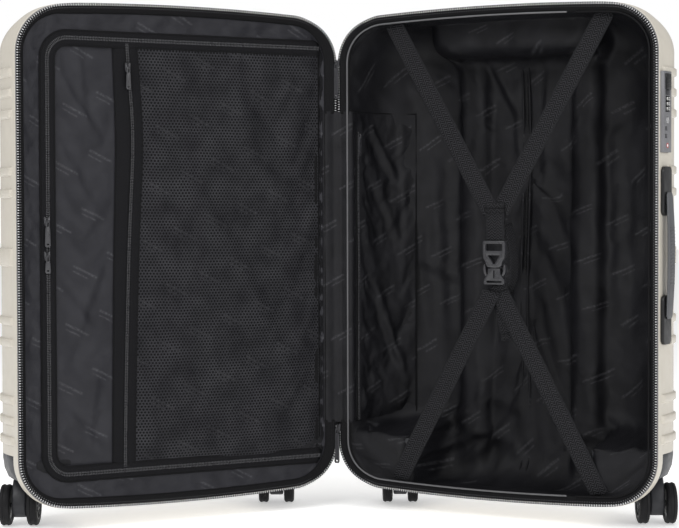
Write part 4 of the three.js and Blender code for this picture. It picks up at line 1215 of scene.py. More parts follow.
BAND_OUT, BAND_IN = 35.0, 53.5
margin_steps = {"side_steps": 84, "end_steps": 56, "corner_steps": 12}
outer_edge = outline(11.4, 4.0, **margin_steps)
inner_edge = box_loop(DIVIDER_SPINE - 1.5, OUTER_X - BAND_OUT - 1, MID_Z - HEIGHT / 2 + BAND_OUT + 1,
                      MID_Z + HEIGHT / 2 - BAND_OUT - 1, DIVIDER_CORNER + 8, 5.0, 9.6, **margin_steps)
rows = 9
t = np.linspace(0, 1, rows)[:, None, None]
margin = outer_edge[None] * (1 - t) + inner_edge[None] * t
margin[:, :, 1] += 3.2 * np.sin(t[:, :, 0] * math.pi)
around = margin.shape[1]
places = margin.reshape(-1, 3)[:, [0, 2]]
inside = np.sin(np.linspace(0, math.pi, rows)).repeat(around)
waves = ripples(places, 21, 34.0, 1.0) * 1.7 + ripples(places, 22, 12.0, 1.0, 2) * 0.7
points = margin.reshape(-1, 3).copy()
points[:, 1] -= waves * inside
lid_margin = built("lid_margin", LID, points, grid_faces(rows, around, wrap=True), panel_look,
                   laid_flat(places), slot="lining_nylon", closed=False, sharp=None)
held = np.zeros(rows * around, bool)
held[:around] = held[-around:] = True
crumpled(lid_margin, held, 0.03, 2.5)
smoothed(lid_margin, 1, 0.5)

# At the spine a tape covers the strip between the rim and the divider's hinge seam.
spine_z = np.linspace(MID_Z - HEIGHT / 2 + 46, MID_Z + HEIGHT / 2 - 46, 80)
ribbon("lid_spine_tape", LID, line_at(16.0, 4.6, spine_z), line_at(21.8, 8.4, spine_z), tape_grey,
       slot="zip_tape")

# The divider's zip: a band on the lid, a band on the divider, and the closed chain between them.
ribbon("lid_zip_band", LID, divider_run(BAND_OUT, 8.4), divider_run(DIVIDER_INSET - 0.3, 7.6), tape_grey,
                  crown=0.7, slot="zip_tape")
ribbon("divider_zip_band", LID, divider_run(DIVIDER_INSET + 0.3, 7.6), divider_run(BAND_IN, 8.0),
                      tape_grey, crown=0.7, slot="zip_tape", body="divider")
tube("lid_band_piping", LID, divider_run(BAND_OUT, 8.0), 1.1, tape_black, slot="zip_tape")
tube("divider_band_piping", LID, divider_run(BAND_IN, 7.6), 0.9, tape_black, slot="zip_tape",
     body="divider")
zip_chain("divider_zip_chain", LID, divider_run(DIVIDER_INSET, 6.9), slot="zip_tape", body="divider")

# The divider itself: a nylon sheet, with the mesh pocket's zip band down it and the mesh over it.
SWAY_Z = (60.0, 90.0, 220.0, 350.0, 480.0, 560.0, 610.0)
SWAY_X = (4.0, 4.0, 1.0, -3.0, -10.0, -4.0, 0.0)


def sway(z):
    """How far the mesh pocket's slack zip band wanders sideways at this height."""
    fine = np.linspace(SWAY_Z[0], SWAY_Z[-1], 120)
    rough = np.interp(fine, SWAY_Z, SWAY_X)
    soft = np.convolve(np.pad(rough, 8, mode="edge"), np.ones(17) / 17, mode="valid")
    return np.interp(z, fine, soft)


def sheet_grid(x0, x1, corner=0.0):
    """A grid of points (x, z) over the divider from x0 to x1. Its outer corners may be rounded."""
    z0, z1, step = PANEL_LOW, PANEL_HIGH, 5.0
    columns, rows = int((x1 - x0) / step) + 1, int((z1 - z0) / step) + 1
    z = np.linspace(z0, z1, rows)
    past = np.maximum(np.maximum(z - (z1 - corner), (z0 + corner) - z), 0.0)
    right = x1 - round_inset(max(corner, 1e-6), past)
    x = x0 + (right - x0)[:, None] * np.linspace(0, 1, columns)[None]
    return np.stack([x, np.broadcast_to(z[:, None], x.shape)], -1), rows, columns


def cloth_panel(name, points, rows, columns, look, places, slot):
    """An open sheet on the divider, before it is crumpled."""
    return built(name, LID, points, grid_faces(rows, columns), look, laid_flat(places), slot=slot,
                 closed=False, sharp=None, body="divider")


PANEL_LOW, PANEL_HIGH, PANEL_OUTER = MID_Z - HEIGHT / 2 + 49, MID_Z + HEIGHT / 2 - 49, OUTER_X - 50
# The mesh pocket's zip band: its edge by the mesh, its zip, its middle and its outer edge.
BAND_NEAR, BAND_ZIP, BAND_MIDDLE, BAND_FAR = 284, 298, 301, 316
places, rows, columns = sheet_grid(DIVIDER_SPINE, PANEL_OUTER, 22.0)
grid = places.reshape(-1, 2)
relief = ripples(grid, 31, 58.0, 1.8) * 1.5 + ripples(grid, 32, 17.0, 1.4, 2) * 0.6
relief += folds(grid, [((390, 560), (330, 470), 6, 3.0), ((385, 470), (335, 380), 7, 3.0),
                       ((330, 330), (380, 200), 7, 3.0),
                       ((388, 300), (340, 240), 6, 2.6), ((385, 150), (328, 92), 6, 3.0),
                       ((360, 590), (350, 480), 6, 2.4), ((340, 200), (350, 90), 6, 2.6)])
off_band = grid[:, 0] - BAND_MIDDLE - sway(grid[:, 1])
relief *= np.where(off_band < 0, 0.2, 1.0)
rim = np.minimum.reduce([grid[:, 0] - DIVIDER_SPINE, PANEL_OUTER - grid[:, 0], grid[:, 1] - PANEL_LOW,
                         PANEL_HIGH - grid[:, 1], np.maximum(np.abs(off_band) - 19.0, 0.0)])
under_mesh = 1.6 * smoothstep(-off_band, 18.0, 34.0)
points = np.stack([grid[:, 0], 10.2 + under_mesh - relief * smoothstep(rim, 0.0, 16.0), grid[:, 1]], 1)
divider_sheet = cloth_panel("divider_sheet", points, rows, columns, panel_look, grid, "lining_nylon")
crumpled(divider_sheet, (rim < 3.0) | (off_band < 0), 0.025, 2.2)
smoothed(divider_sheet, 1, 0.5)
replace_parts(divider_sheet, "divider_panel")

height = np.linspace(PANEL_LOW, PANEL_HIGH, 110)
shift = sway(height)
band_left = line_at(BAND_FAR + 0.5 * shift, 9.0, height)
band_zip = line_at(BAND_ZIP + shift, 7.6, height)
band_right = line_at(BAND_NEAR + shift, 8.2, height)
joined("mesh_zip_band", [
    ribbon("mesh_band_wide", LID, band_left, band_zip + (2.2, 0, 0), tape_grey, crown=0.5, body="divider",
           slot="zip_tape"),
    ribbon("mesh_band_narrow", LID, band_zip - (2.2, 0, 0), band_right, tape_grey, crown=0.5,
           body="divider"),
    ribbon("mesh_band_bed", LID, band_zip + (3, 0.9, 0), band_zip - (3, -0.9, 0), tape_black,
           body="divider"),
    tube("mesh_band_seam", LID, band_right + (0.5, -0.4, 0), 0.8, tape_black, body="divider"),
    tube("mesh_band_edge", LID, band_left + (0, -0.3, 0), 0.7, tape_black, body="divider")])
zip_chain("mesh_zip_chain", LID, band_zip - (0, 0.3, 0), pitch=2.0, width=2.3, slot="zip_tape",
          body="divider")

places, rows, columns = sheet_grid(DIVIDER_SPINE + 1, BAND_NEAR)
grid = places.reshape(-1, 2).copy()
grid[:, 0] += sway(grid[:, 1]) * (grid[:, 0] - DIVIDER_SPINE) / 260
straight_x = places.reshape(-1, 2)[:, 0]
rim = np.minimum.reduce([straight_x - DIVIDER_SPINE - 1, BAND_NEAR - straight_x, grid[:, 1] - PANEL_LOW,
                         PANEL_HIGH - grid[:, 1]])
relief = 1.2 + ripples(grid, 41, 75.0, 1.4) * 1.3
relief += folds(grid, [((170, 560), (60, 440), 9, 2.6), ((200, 420), (60, 170), 11, 3.0),
                       ((60, 560), (100, 500), 7, 2.0)])
points = np.stack([grid[:, 0], 7.7 - relief * smoothstep(rim, 0.0, 18.0), grid[:, 1]], 1)
mesh_pocket = cloth_panel("divider_mesh", points, rows, columns, knit_material, grid, "mesh_fabric")
crumpled(mesh_pocket, rim < 3.0, 0.012, 1.2, frames=8)
smoothed(mesh_pocket, 1)
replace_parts(mesh_pocket, "divider_mesh_pocket")

# A binding of the same tape holds the divider along its hinge seam.
seam_line = line_at(DIVIDER_SPINE, 8.6, np.linspace(PANEL_LOW, PANEL_HIGH, 90))
ribbon("divider_spine_binding", LID, seam_line - (1.5, -0.6, 0), seam_line + (7, 0, 0), tape_black,
       crown=0.8, body="divider", slot="zip_tape")


# ---------------------------------------------------------------- hinge cover and spine pocket

def curve_through(points, count):
    """A smooth line through the points (a Catmull-Rom curve), resampled."""
    points = np.array([(*point, 0.0)[:3] for point in points], float)
    padded = np.vstack([2 * points[0] - points[1], points, 2 * points[-1] - points[-2]])
    fine = []
    for i in range(1, len(padded) - 2):
        p0, p1, p2, p3 = padded[i - 1:i + 3]
        for t in np.linspace(0, 1, 12, endpoint=False):
            fine.append(0.5 * (2 * p1 + (p2 - p0) * t + (2 * p0 - 5 * p1 + 4 * p2 - p3) * t * t
                               + (3 * p1 - p0 - 3 * p2 + p3) * t ** 3))
    fine.append(padded[-2])
    return resampled(np.array(fine), count=count)[0]


def upright_sheet(name, half, line, low, high, step, look, lift, **options):
    """A sheet that stands from low to high on a line in X and Y. lift moves it along its normal."""
    rows = int((high - low) / step) + 1
    z = np.linspace(low, high, rows)
    along = lengths_along(line)
    tangent = np.gradient(line, axis=0)
    normal = np.stack([-tangent[:, 1], tangent[:, 0]], 1)
    normal /= np.linalg.norm(normal, axis=1)[:, None]
    grid_s, grid_z = np.meshgrid(along, z)
    places = np.stack([grid_s.ravel(), grid_z.ravel()], 1)
    move = lift(places, along[-1]).reshape(rows, -1)
    xy = line[None, :, :2] + normal[None] * move[:, :, None]
    points = np.concatenate([xy, grid_z[:, :, None]], 2).reshape(-1, 3)
    made = built(name, half, points, grid_faces(rows, len(line)), look, laid_flat(places), closed=False,
                 sharp=None, **options)
    return made, places, along[-1]


def row_points(half, points):
    """Half-frame points, X and Y, in row-frame millimetres."""
    return (half.put([(x, y, 0.0) for x, y in points]) / MM)[:, :2]


half_open = math.pi / 2 - OPEN / 2
hinge_point = row_points(BASE, [(0.0, 0.0)])
middle_point = (HINGE / MM + np.array([math.sin(half_open), -math.cos(half_open), 0]) * 2.6)[None, :2]
cover_line = curve_through(np.vstack([
    row_points(LID, [(19.5, 8.6), (19.0, 4.6), (15.5, 1.6), (9.5, 0.9), (4.5, 0.8)]), middle_point,
    row_points(BASE, [(4.5, 0.8), (9.5, 0.9), (15.5, 1.6), (19.0, 4.4), (19.7, 8.6)])]), 22)


def cover_lift(places, length):
    """The hinge cover's small wrinkles, which fade out at its sewn edges."""
    edge = smoothstep(np.minimum(places[:, 0], length - places[:, 0]), 0.0, 9.0)
    return (ripples(places, 51, 24.0, 2.4) * 0.35 + ripples(places, 52, 9.0, 1.5, 2) * 0.2) * edge - 0.2


hinge_cover, places, length = upright_sheet("hinge_cover_cloth", RowFrame, cover_line, COVER_LOW,
                                            COVER_HIGH, 4.0,
                                            lining_look, cover_lift, slot="lining_nylon", body=None)
smoothed(hinge_cover, 1, 0.6)
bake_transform(hinge_cover)
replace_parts(hinge_cover, "hinge_cover_base", "hinge_cover_lid")

# Above and below the cover a narrow tape joins the two rims behind the hinge line.
TAPE_LOW, TAPE_HIGH, TAPE_LAP = 80.0, 571.0, 6.0
tape_line = curve_through(np.vstack([row_points(LID, [(4.5, 1.8), (1.6, 1.7)]),
                                     hinge_point + (hinge_point - middle_point) * 0.5,
                                     row_points(BASE, [(1.6, 1.7), (4.5, 1.8)])]), 12)
for where, low, high in (("top", COVER_HIGH - TAPE_LAP, TAPE_HIGH),
                         ("bottom", TAPE_LOW, COVER_LOW + TAPE_LAP)):
    hinge_tape, _, _ = upright_sheet(f"hinge_tape_{where}", RowFrame, tape_line, low, high, 6.0, tape_black,
                                     lambda places, length: np.zeros(len(places)), slot="zip_tape",
                                     body=None)
    smoothed(hinge_tape, 0, 0.5)
    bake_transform(hinge_tape)

POCKET_INSET = 13.5
arc = [(SPINE_GAP + SIDE_ROUND - (SIDE_ROUND - POCKET_INSET) * math.cos(a),
        DEPTH - SIDE_ROUND + (SIDE_ROUND - POCKET_INSET) * math.sin(a)) for a in np.linspace(0.0, 1.05, 6)]
pocket_line = curve_through([(19.7, 8.6), (19.2, 14), (19.4, 22), (19.6, 32)] + arc, 34)


def pocket_lift(places, length):
    """The spine pocket's slack, which fades out at its sewn edges."""
    edge = smoothstep(np.minimum(places[:, 0], length - places[:, 0]), 4.0, 22.0)
    ends = 0.25 + 0.75 * smoothstep(np.minimum(places[:, 1] - COVER_LOW, COVER_HIGH - places[:, 1]), 0.0,
                                    30.0)
    lift = ripples(places, 61, 46.0, 2.2) * 2.4 + ripples(places, 62, 15.0, 1.5, 2) * 0.8
    lift += folds(places, [((40, 500), (88, 420), 6, 5), ((44, 440), (96, 330), 7, 4),
                           ((90, 500), (100, 330), 6, 4),
                           ((44, 300), (84, 190), 7, 4), ((60, 250), (104, 150), 6, 4),
                           ((100, 300), (106, 160), 6, 3)])
    return -(lift + 1.5) * edge * ends


spine_pocket, places, length = upright_sheet("spine_pocket_cloth", BASE, pocket_line, COVER_LOW, COVER_HIGH,
                                             4.5, lining_look, pocket_lift, slot="lining_nylon")
held = (places[:, 0] < 20) | (places[:, 0] > length - 2) | (places[:, 1] < COVER_LOW
                                                            + 2) | (places[:, 1] > COVER_HIGH - 2)
crumpled(spine_pocket, held, 0.03, 3.0)
smoothed(spine_pocket, 1, 0.5)
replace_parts(spine_pocket, "spine_pocket")
z_line = np.linspace(COVER_LOW + 3, 491, 100)
pocket_zip = line_at(20.6, 20.0 + 0.8 * np.sin(z_line / 37), z_line)
ribbon("pocket_zip_tape", BASE, pocket_zip + (-0.7, -6.5, 0), pocket_zip + (-0.7, 7.5, 0), tape_black,
       slot="zip_tape")
zip_chain("pocket_zip_chain", BASE, pocket_zip, pitch=2.0, width=2.2, normal=(1.0, 0.0, 0.0),
          slot="zip_tape")
hem = pocket_line + (0.6, -0.6, 0.0)
for where, z in (("top", COVER_HIGH - 1.0), ("bottom", COVER_LOW + 1.0)):
    tube(f"pocket_hem_{where}", BASE, hem + (0, 0, z), 0.9, tape_black, slot="lining_nylon")
side_hem = line_at(pocket_line[-1][0] + 0.8, pocket_line[-1][1] - 0.8,
                   np.linspace(COVER_LOW, COVER_HIGH, 60))
tube("pocket_hem_side", BASE, side_hem, 0.9, tape_black, slot="lining_nylon")


# ---------------------------------------------------------------- packing straps and buckle

STRAP_WIDTH, STRAP_THICK, STRAP_PLANE, BUCKLE_X = 25.0, 1.6, 9.0, 225.0


def webbing(name, line, width=STRAP_WIDTH, thickness=STRAP_THICK, across_way=None, body="base", ribs=0.0):
    """A closed strap along a line. across_way, where given, is the direction of its width at every point."""
    points, tangent, along = resampled(line, step=4.0)
    front = np.array((0.0, -1.0, 0.0))
    if across_way is None:
        across = np.cross(tangent, front)
    else:
        across = np.broadcast_to(np.asarray(across_way, float), tangent.shape)
    across = across / np.linalg.norm(across, axis=1)[:, None]
    out = np.cross(across, tangent)
    half, deep = width / 2, thickness / 2
    ring = [(-half, 0.0), (-half + 0.4, deep * 0.8)]
    ring += [(half * t, deep) for t in (-0.85, -0.45, 0.0, 0.45, 0.85)]
    ring += [(half - 0.4, deep * 0.8), (half, 0.0), (half - 0.4, -deep * 0.8)]
    ring += [(half * t, -deep) for t in (0.85, 0.45, 0.0, -0.45, -0.85)] + [(-half + 0.4, -deep * 0.8)]
    ring = np.array(ring)
    swell = 1 + ribs * np.sin(along * 2 * math.pi / 4.6)
    depth = ring[None, :, 1:] * swell[:, None, None]
    cloud = points[:, None] + across[:, None] * ring[None, :, :1] + out[:, None] * depth
    count, sides = len(points), len(ring)
    flat = np.zeros((count, sides, 3))
    flat[:, :, 0] = ring[None, :, 0]
    flat[:, :, 1] = along[:, None]
    return built(name, BASE, cloud.reshape(-1, 3), capped_faces(count, sides), webbing_material,
                 flat.reshape(-1, 3), slot="webbing", sharp=None, body=body)


JOIN_TOP, JOIN_LOW = 392.0, 279.0  # where the upper and the lower straps are sewn together
STRAP_LAP = 1.2  # how far the right strap of a pair lies behind the left one at their join, halved
for side, where in ((-1, "left"), (1, "right")):
    plane = STRAP_PLANE + side * STRAP_LAP
    top = curve_through([(MID_X + side * 144, 13.0, 627.5), (MID_X + side * 141, STRAP_PLANE + 0.4, 619),
                         (MID_X + side * 75, plane - 0.8, 506), (BUCKLE_X + side * 12, plane, JOIN_TOP + 5),
                         (BUCKLE_X + side * 6, plane + 1.5, JOIN_TOP - 5)], 70)
    made = webbing(f"strap_top_{where}", top)
    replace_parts(made, f"strap_upper_{where}")
    low = curve_through([(BUCKLE_X + side * 5, plane + 1.2, JOIN_LOW + 8),
                         (BUCKLE_X + side * 11, plane, JOIN_LOW - 4), (MID_X + side * 72, plane - 0.6, 164),
                         (MID_X + side * 134.5, STRAP_PLANE + 0.6, 50),
                         (MID_X + side * 138.5, 14.0, 40)], 70)
    made = webbing(f"strap_bottom_{where}", low, body=None)
    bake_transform(made)
    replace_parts(made, f"strap_lower_{where}")

tab = webbing("strap_join_tab", np.array([(BUCKLE_X, STRAP_PLANE - 0.4, z) for z in (397, 380, 366, 349)],
                                         float), width=26.5, thickness=3.4, ribs=0.22)
folds_over = [webbing(f"tab_fold_{i}", line_at(BUCKLE_X, STRAP_PLANE - np.array((1.6, 2.0)),
                                               z + np.array((2.2, -2.2))),
                      width=27.0, thickness=2.6) for i, z in enumerate((394.0, 388.5))]
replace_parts(joined("strap_join_tab", [tab] + folds_over), "strap_joining_tab")
# The loose end of the webbing comes off the clip, hangs behind the right strap and turns up in a sewn hem.
tail = curve_through([(BUCKLE_X + 2, 10.5, 296), (BUCKLE_X + 5, 12.5, 284), (BUCKLE_X + 9, 14.5, 262),
                      (BUCKLE_X + 14, 16.0, 240), (BUCKLE_X + 18, 16.5, 228)], 30)
hem_end = webbing("tail_hem", np.array([(BUCKLE_X + 16.5, 15.4, 234), (BUCKLE_X + 18.2, 15.9, 226.5)]),
                  width=25.6, thickness=4.0, body="buckle_clip")
joined("strap_tail", [webbing("strap_tail_run", tail, body="buckle_clip"), hem_end])
behind = curve_through([(BUCKLE_X + 12, 18.5, 372), (BUCKLE_X + 17.5, 20.0, 350),
                        (BUCKLE_X + 20.5, 21.0, 322),
                        (BUCKLE_X + 19, 21.0, 300), (BUCKLE_X + 13, 20.0, 284)], 30)
webbing("strap_slack_loop", behind, width=16.0, across_way=(0.3, 0.95, 0.05), body="base")


def buckle_part(name, outline_points, low, high, holes=(), round_by=0.9, body="base"):
    """A plate of the buckle: its outline from the middle line, its depths from the straps' plane."""
    shifted = [(BUCKLE_X + px, pz) for px, pz in outline_points]
    inner = [[(BUCKLE_X + px, pz) for px, pz in hole] for hole in holes]
    return solid_outline(name, BASE, shifted, STRAP_PLANE + low, STRAP_PLANE + high, buckle_look,
                         holes=inner, round_by=round_by, slot="black_plastic", body=body)


def mirrored_outline(points):
    """Points down the right side, and their mirror images back up the left."""
    return list(points) + [(-x, z) for x, z in reversed(points)]


# The socket: a frame for the tab, and below it two arms that run down to a point round an open triangle.
socket_side = [(13.6, 350.4), (15.0, 349.0), (15.3, 345), (15.2, 334), (14.6, 329), (11.2, 323.5),
               (10.6, 319.5), (8.4, 317.6), (3.0, 316.8)]
triangle = [(-8.6, 331.6), (-7.8, 332.4), (7.8, 332.4), (8.6, 331.6), (0.9, 321.2), (-0.9, 321.2)]
socket = [buckle_part("buckle_frame", mirrored_outline(socket_side), -5.2, 3.4,
                      holes=[rounded_rectangle(-11.6, 11.6, 337.6, 346.6, 1.6), triangle])]
socket.append(buckle_part("buckle_bar", rounded_rectangle(-13.2, 13.2, 346.8, 350.0, 1.4), -6.2, -4.6,
                          round_by=0.7))
for side in (-1, 1):
    rail = [(side * px, pz) for px, pz in ((12.2, 345.0), (14.4, 345.0), (14.2, 330.0), (3.4, 318.6),
                                           (1.6, 320.4), (11.6, 332.2))]
    socket.append(buckle_part(f"buckle_rail_{side}", rail[::side], -6.0, -4.8, round_by=0.5))
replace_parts(joined("buckle_female", socket), "buckle_socket")
# The clip: a waisted block with a slit up its middle, and an arm on each side that springs out round the
# socket.
clip_side = [(13.0, 295.6), (14.2, 297.2), (14.0, 301.0), (11.2, 305.0), (8.6, 308.6), (8.0, 315.4),
             (2.6, 315.8)]
clip = [buckle_part("buckle_base", mirrored_outline(clip_side), -4.8, 3.2, body="buckle_clip",
                    holes=[rounded_rectangle(-10.6, 10.6, 297.6, 300.4, 1.2),
                           rounded_rectangle(-0.7, 0.7, 303.4, 313.6, 0.6)])]
for side in (-1, 1):
    arm = [(9.8, 306.6), (12.0, 305.4), (14.8, 309.6), (15.6, 315.0), (14.9, 319.6), (13.2, 321.4),
           (12.4, 318.4), (12.0, 312.4)]
    clip.append(buckle_part(f"buckle_arm_{side}", [(side * px, pz) for px, pz in arm][::side], -4.0, 2.4,
                            round_by=0.7, body="buckle_clip"))
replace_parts(joined("buckle_male", clip), "buckle_clip")


# ---------------------------------------------------------------- zip sliders

CAST_HEIGHT = 11.5


def slider(name, half, node, facing="front", width=8.0, shift=0.0):
    """A cast slider with a bridge and a pull tab, in the place of its CAD solid."""
    corners = vertices_of(frame["nodes"][node], half)
    low, high = corners.min(0), corners.max(0)
    body = frame["nodes"][node]["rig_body"]
    top, bottom = high[2], low[2]
    if facing == "front":
        centre = ((low[0] + high[0]) / 2 + shift, high[1])
    else:
        centre = (low[0], (low[1] + high[1]) / 2)

    def at(side, out, z):
        return (centre[0] + side, centre[1] - out,
                z) if facing == "front" else (centre[0] + out, centre[1] - side, z)

    def plate(part, points, low_out, high_out, holes=(), round_by=0.5):
        made = solid_outline(part, half, points, low_out, high_out, buckle_look, holes=holes,
                             round_by=round_by, slot="black_plastic", body=body)
        moved(made, half.put([at(x, out, z) for x, out, z in vertices_of(made, half)]))
        faced_outwards(made.data)
        return made

    base_z = top - CAST_HEIGHT
    w = width / 2
    shape = mirrored_outline([(1.4, top - 2.6), (2.4, top), (w, top - 0.6), (w, top - 5.5),
                              (w * 0.72, base_z), (0.5, base_z)])
    parts = [plate(f"{name}_cast", shape, 0.3, 3.2, round_by=0.8)]
    bridge = [at(0, 2.8, top - 1.8), at(0, 4.9, top - 2.8), at(0, 5.3, top - 5.2), at(0, 4.7, top - 8.2),
              at(0, 2.8, top - 9.4)]
    parts.append(tube(f"{name}_bridge", half, curve_through(bridge, 14), 0.75, buckle_look, sharp=38.0,
                      slot="black_plastic", body=body))
    tab_top = top - 5.4
    tab = [(1.3, tab_top), (2.3, tab_top - 1.6), (2.2, base_z - 1.5), (w * 0.78, base_z - 3.6),
           (w * 0.9, bottom + 2.0), (w * 0.62, bottom)]
    eye = rounded_rectangle(-1.1, 1.1, base_z - 1.0, tab_top - 1.5, 0.9, 3)
    slot_hole = rounded_rectangle(-w * 0.36, w * 0.36, bottom + 2.2, bottom + 4.2, 0.9, 3)
    parts.append(plate(f"{name}_pull", mirrored_outline(tab), 3.5, 4.9, holes=[eye, slot_hole],
                       round_by=0.45))
    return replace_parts(joined(name, parts), node)


slider("divider_pull_upper", LID, "divider_slider_upper", shift=-3.4)
slider("divider_pull_lower", LID, "divider_slider_lower", shift=-3.4)
slider("mesh_pocket_pull", LID, "mesh_pocket_slider", width=7.0)
slider("spine_pocket_pull", BASE, "spine_pocket_slider", facing="side", width=7.0)
slider("main_pull_upper", BASE, "main_slider_upper")
slider("main_pull_lower", BASE, "main_slider_lower")


# ---------------------------------------------------------------- casters

WHEEL_RADIUS, WHEEL_WIDTH, CASTER_TRAIL = 25.5, 13.0, 15.0


class Placed:
    """A part's own frame, in millimetres, set down in the row frame."""

    def __init__(self, body, origin, axes):
        self.body, self.origin, self.axes = body, np.asarray(origin, float), np.asarray(axes, float)
        self.mirrored = np.linalg.det(self.axes) < 0

    def put(self, points):
        return (self.origin + np.asarray(points, float) @ self.axes) * MM


def lathe(name, place, profile, look, steps=48, **options):
    """A profile of (radius, height) turned about the place's Z axis. It starts and ends on the axis, or
    closes."""
    profile = np.asarray(profile, float)
    angle = np.arange(steps) * 2 * math.pi / steps
    cloud = np.stack([profile[:, 0, None] * np.cos(angle), profile[:, 0, None] * np.sin(angle),
                      np.broadcast_to(profile[:, 1, None], (len(profile), steps))], -1)
    return built(name, place, cloud.reshape(-1, 3), grid_faces(len(profile), steps, wrap=True), look,
                 **options)


def node_centre(node):
    """The middle of a CAD node's box, in millimetres of the row frame."""
    low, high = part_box(node)
    return np.array((low + high) / 2) / MM


def caster(half, where):
    """The swivelling fork with its dome cap and cheeks, and the two wheels."""
    prefix = f"{half.body}_caster"
    swivel_body = f"{half.body}_caster_{where}"
    wheel_body = f"{half.body}_wheels_{where}"
    first, second = node_centre(f"{half.body}_wheel_{where}_a"), node_centre(f"{half.body}_wheel_{where}_b")
    axle = (second - first) / np.linalg.norm(second - first)
    middle = (first + second) / 2
    joint = next(j for j in frame["joints"] if j["child"] == swivel_body)
    centre = np.array(joint["pos_m"]) / MM
    centre[2] = 0.0
    trail = middle - centre
    trail[2] = 0.0
    trail /= np.linalg.norm(trail)
    place = Placed(swivel_body, centre, [trail, axle, (0, 0, 1)])

    cheek = [(-9.5, 59.5), (-13.5, 55), (-13.5, 50), (-10.5, 40), (-5.6, 30), (0.6, 20)]
    cheek += [(CASTER_TRAIL + 15.5 * math.cos(a), WHEEL_RADIUS + 15.5 * math.sin(a))
              for a in np.linspace(-2.35, 0.25, 12)]
    cheek += [(28.0, 38), (23.0, 48), (15.5, 56.0), (9.5, 59.5)]
    parts = [solid_outline(f"{prefix}_cheek_{where}", place, cheek, -9.0, 9.0, grey_look, round_by=2.4,
                           segments=3, slot="grey_plastic")]
    dome = [(0, 62.6), (8.2, 62.4), (10.2, 61.4), (10.8, 60.0), (10.8, 58.6), (8.6, 57.8), (0, 57.8)]
    parts.append(lathe(f"{prefix}_collar_{where}", place, dome, grey_look, sharp=50, slot="grey_plastic"))
    stem = [(0, 82), (6.4, 82), (7.0, 81.4), (7.0, 61), (0, 61)]
    parts.append(lathe(f"{prefix}_stem_{where}", place, stem, steel_look, steps=24, sharp=50,
                       slot="grey_plastic"))
    hub = Placed(swivel_body, middle, [trail, (0, 0, 1), axle])
    pin = [(0, -22.6), (2.6, -22.6), (3.0, -22.2), (3.0, 22.2), (2.6, 22.6), (0, 22.6)]
    parts.append(lathe(f"{prefix}_axle_{where}", hub, pin, steel_look, steps=20, sharp=50,
                       slot="grey_plastic"))
    fork = joined(f"{half.body}_fork_{where}", parts)
    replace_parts(fork, f"{half.body}_caster_fork_{where}")

    for letter, at, outward in (("a", first, -1), ("b", second, 1)):
        spot = Placed(wheel_body, at, [trail, (0, 0, 1), axle * outward])
        r, w = WHEEL_RADIUS, WHEEL_WIDTH / 2
        tread = [(18.2, -w + 0.6), (r - 3.2, -w), (r - 1.0, -w + 0.9), (r, -w + 3.0), (r, -2.2),
                 (r - 0.7, -1.7),
                 (r - 0.7, 1.7), (r, 2.2), (r, w - 3.0), (r - 1.0, w - 0.9), (r - 3.2, w), (18.2, w - 0.6),
                 (18.2, -w + 0.6)]
        tyre = lathe(f"{half.body}_tyre_{where}_{letter}", spot, tread, rubber_look, steps=64, sharp=40,
                     slot="wheel_rubber", body=wheel_body)
        rim = [(3.4, -w + 1.2), (6.0, -w + 1.2), (17.0, -w + 1.8), (18.2, -w + 0.9), (18.2, w - 0.3),
               (16.6, w - 0.3),
               (15.2, w - 2.2), (7.6, w - 2.2), (6.6, w - 0.5), (5.2, w), (3.4, w), (3.4, -w + 1.2)]
        disc = lathe(f"{half.body}_disc_{where}_{letter}", spot, rim, grey_look, steps=48, sharp=35,
                     slot="wheel_rubber", body=wheel_body)
        spokes = []
        for i in range(6):
            turn = i * math.pi / 3
            along = (math.cos(turn), math.sin(turn))
            corners = [(7.0, -1.1), (15.8, -1.5), (15.8, 1.5), (7.0, 1.1)]
            bar = [(along[0] * u - along[1] * v, along[1] * u + along[0] * v) for u, v in corners]
            spokes.append(solid_outline(f"spoke_{i}", spot, bar, w - 2.6, w - 1.0, grey_look, axis="z",
                                        round_by=0.35, body=wheel_body))
        wheel = joined(f"{half.body}_wheel_{where}_{letter}_full", [tyre, disc] + spokes)
        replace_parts(wheel, f"{half.body}_wheel_{where}_{letter}")
    refined(f"{half.body}_housing_{where}", f"{half.body}_caster_housing_{where}", grey_look, 0.9)


for half in (BASE, LID):
    for where in ("spine", "outer"):
        caster(half, where)


# ---------------------------------------------------------------- lock

LOCK_Y = 16.5
refined("lock_case", "lock_body", lock_look, 0.45)
refined("lock_slide", "lock_release", black_look, 0.7)
SLIDE_RIBS, RIB_PITCH = 536.0, 4.4
for i in range(4):
    z = SLIDE_RIBS + i * RIB_PITCH
    solid_outline(f"lock_slide_rib_{i}", BASE, rounded_rectangle(LOCK_Y - 5.6, LOCK_Y + 5.6, z, z + 1.4,
                                                                 0.6),
                          452.4, 453.2, black_look, axis="x", round_by=0.25, slot="black_plastic",
                  body="lock_release")
refined("key_barrel", "lock_key_cylinder", steel_look, 0.25)

# Seven-stroke digits, so that a dial carries plain numbers and nothing else.
STROKES = {"top": ((0, 2), (1, 2)), "middle": ((0, 1), (1, 1)), "low": ((0, 0), (1, 0)),
           "nw": ((0, 1), (0, 2)), "ne": ((1, 1), (1, 2)), "sw": ((0, 0), (0, 1)), "se": ((1, 0), (1, 1))}
DIGITS = {0: "top low nw ne sw se", 1: "ne se", 2: "top middle low ne sw", 3: "top middle low ne se",
          4: "middle nw ne se", 5: "top middle low nw se", 6: "top middle low nw sw se", 7: "top ne se",
          8: "top middle low nw ne sw se", 9: "top middle low nw ne se"}


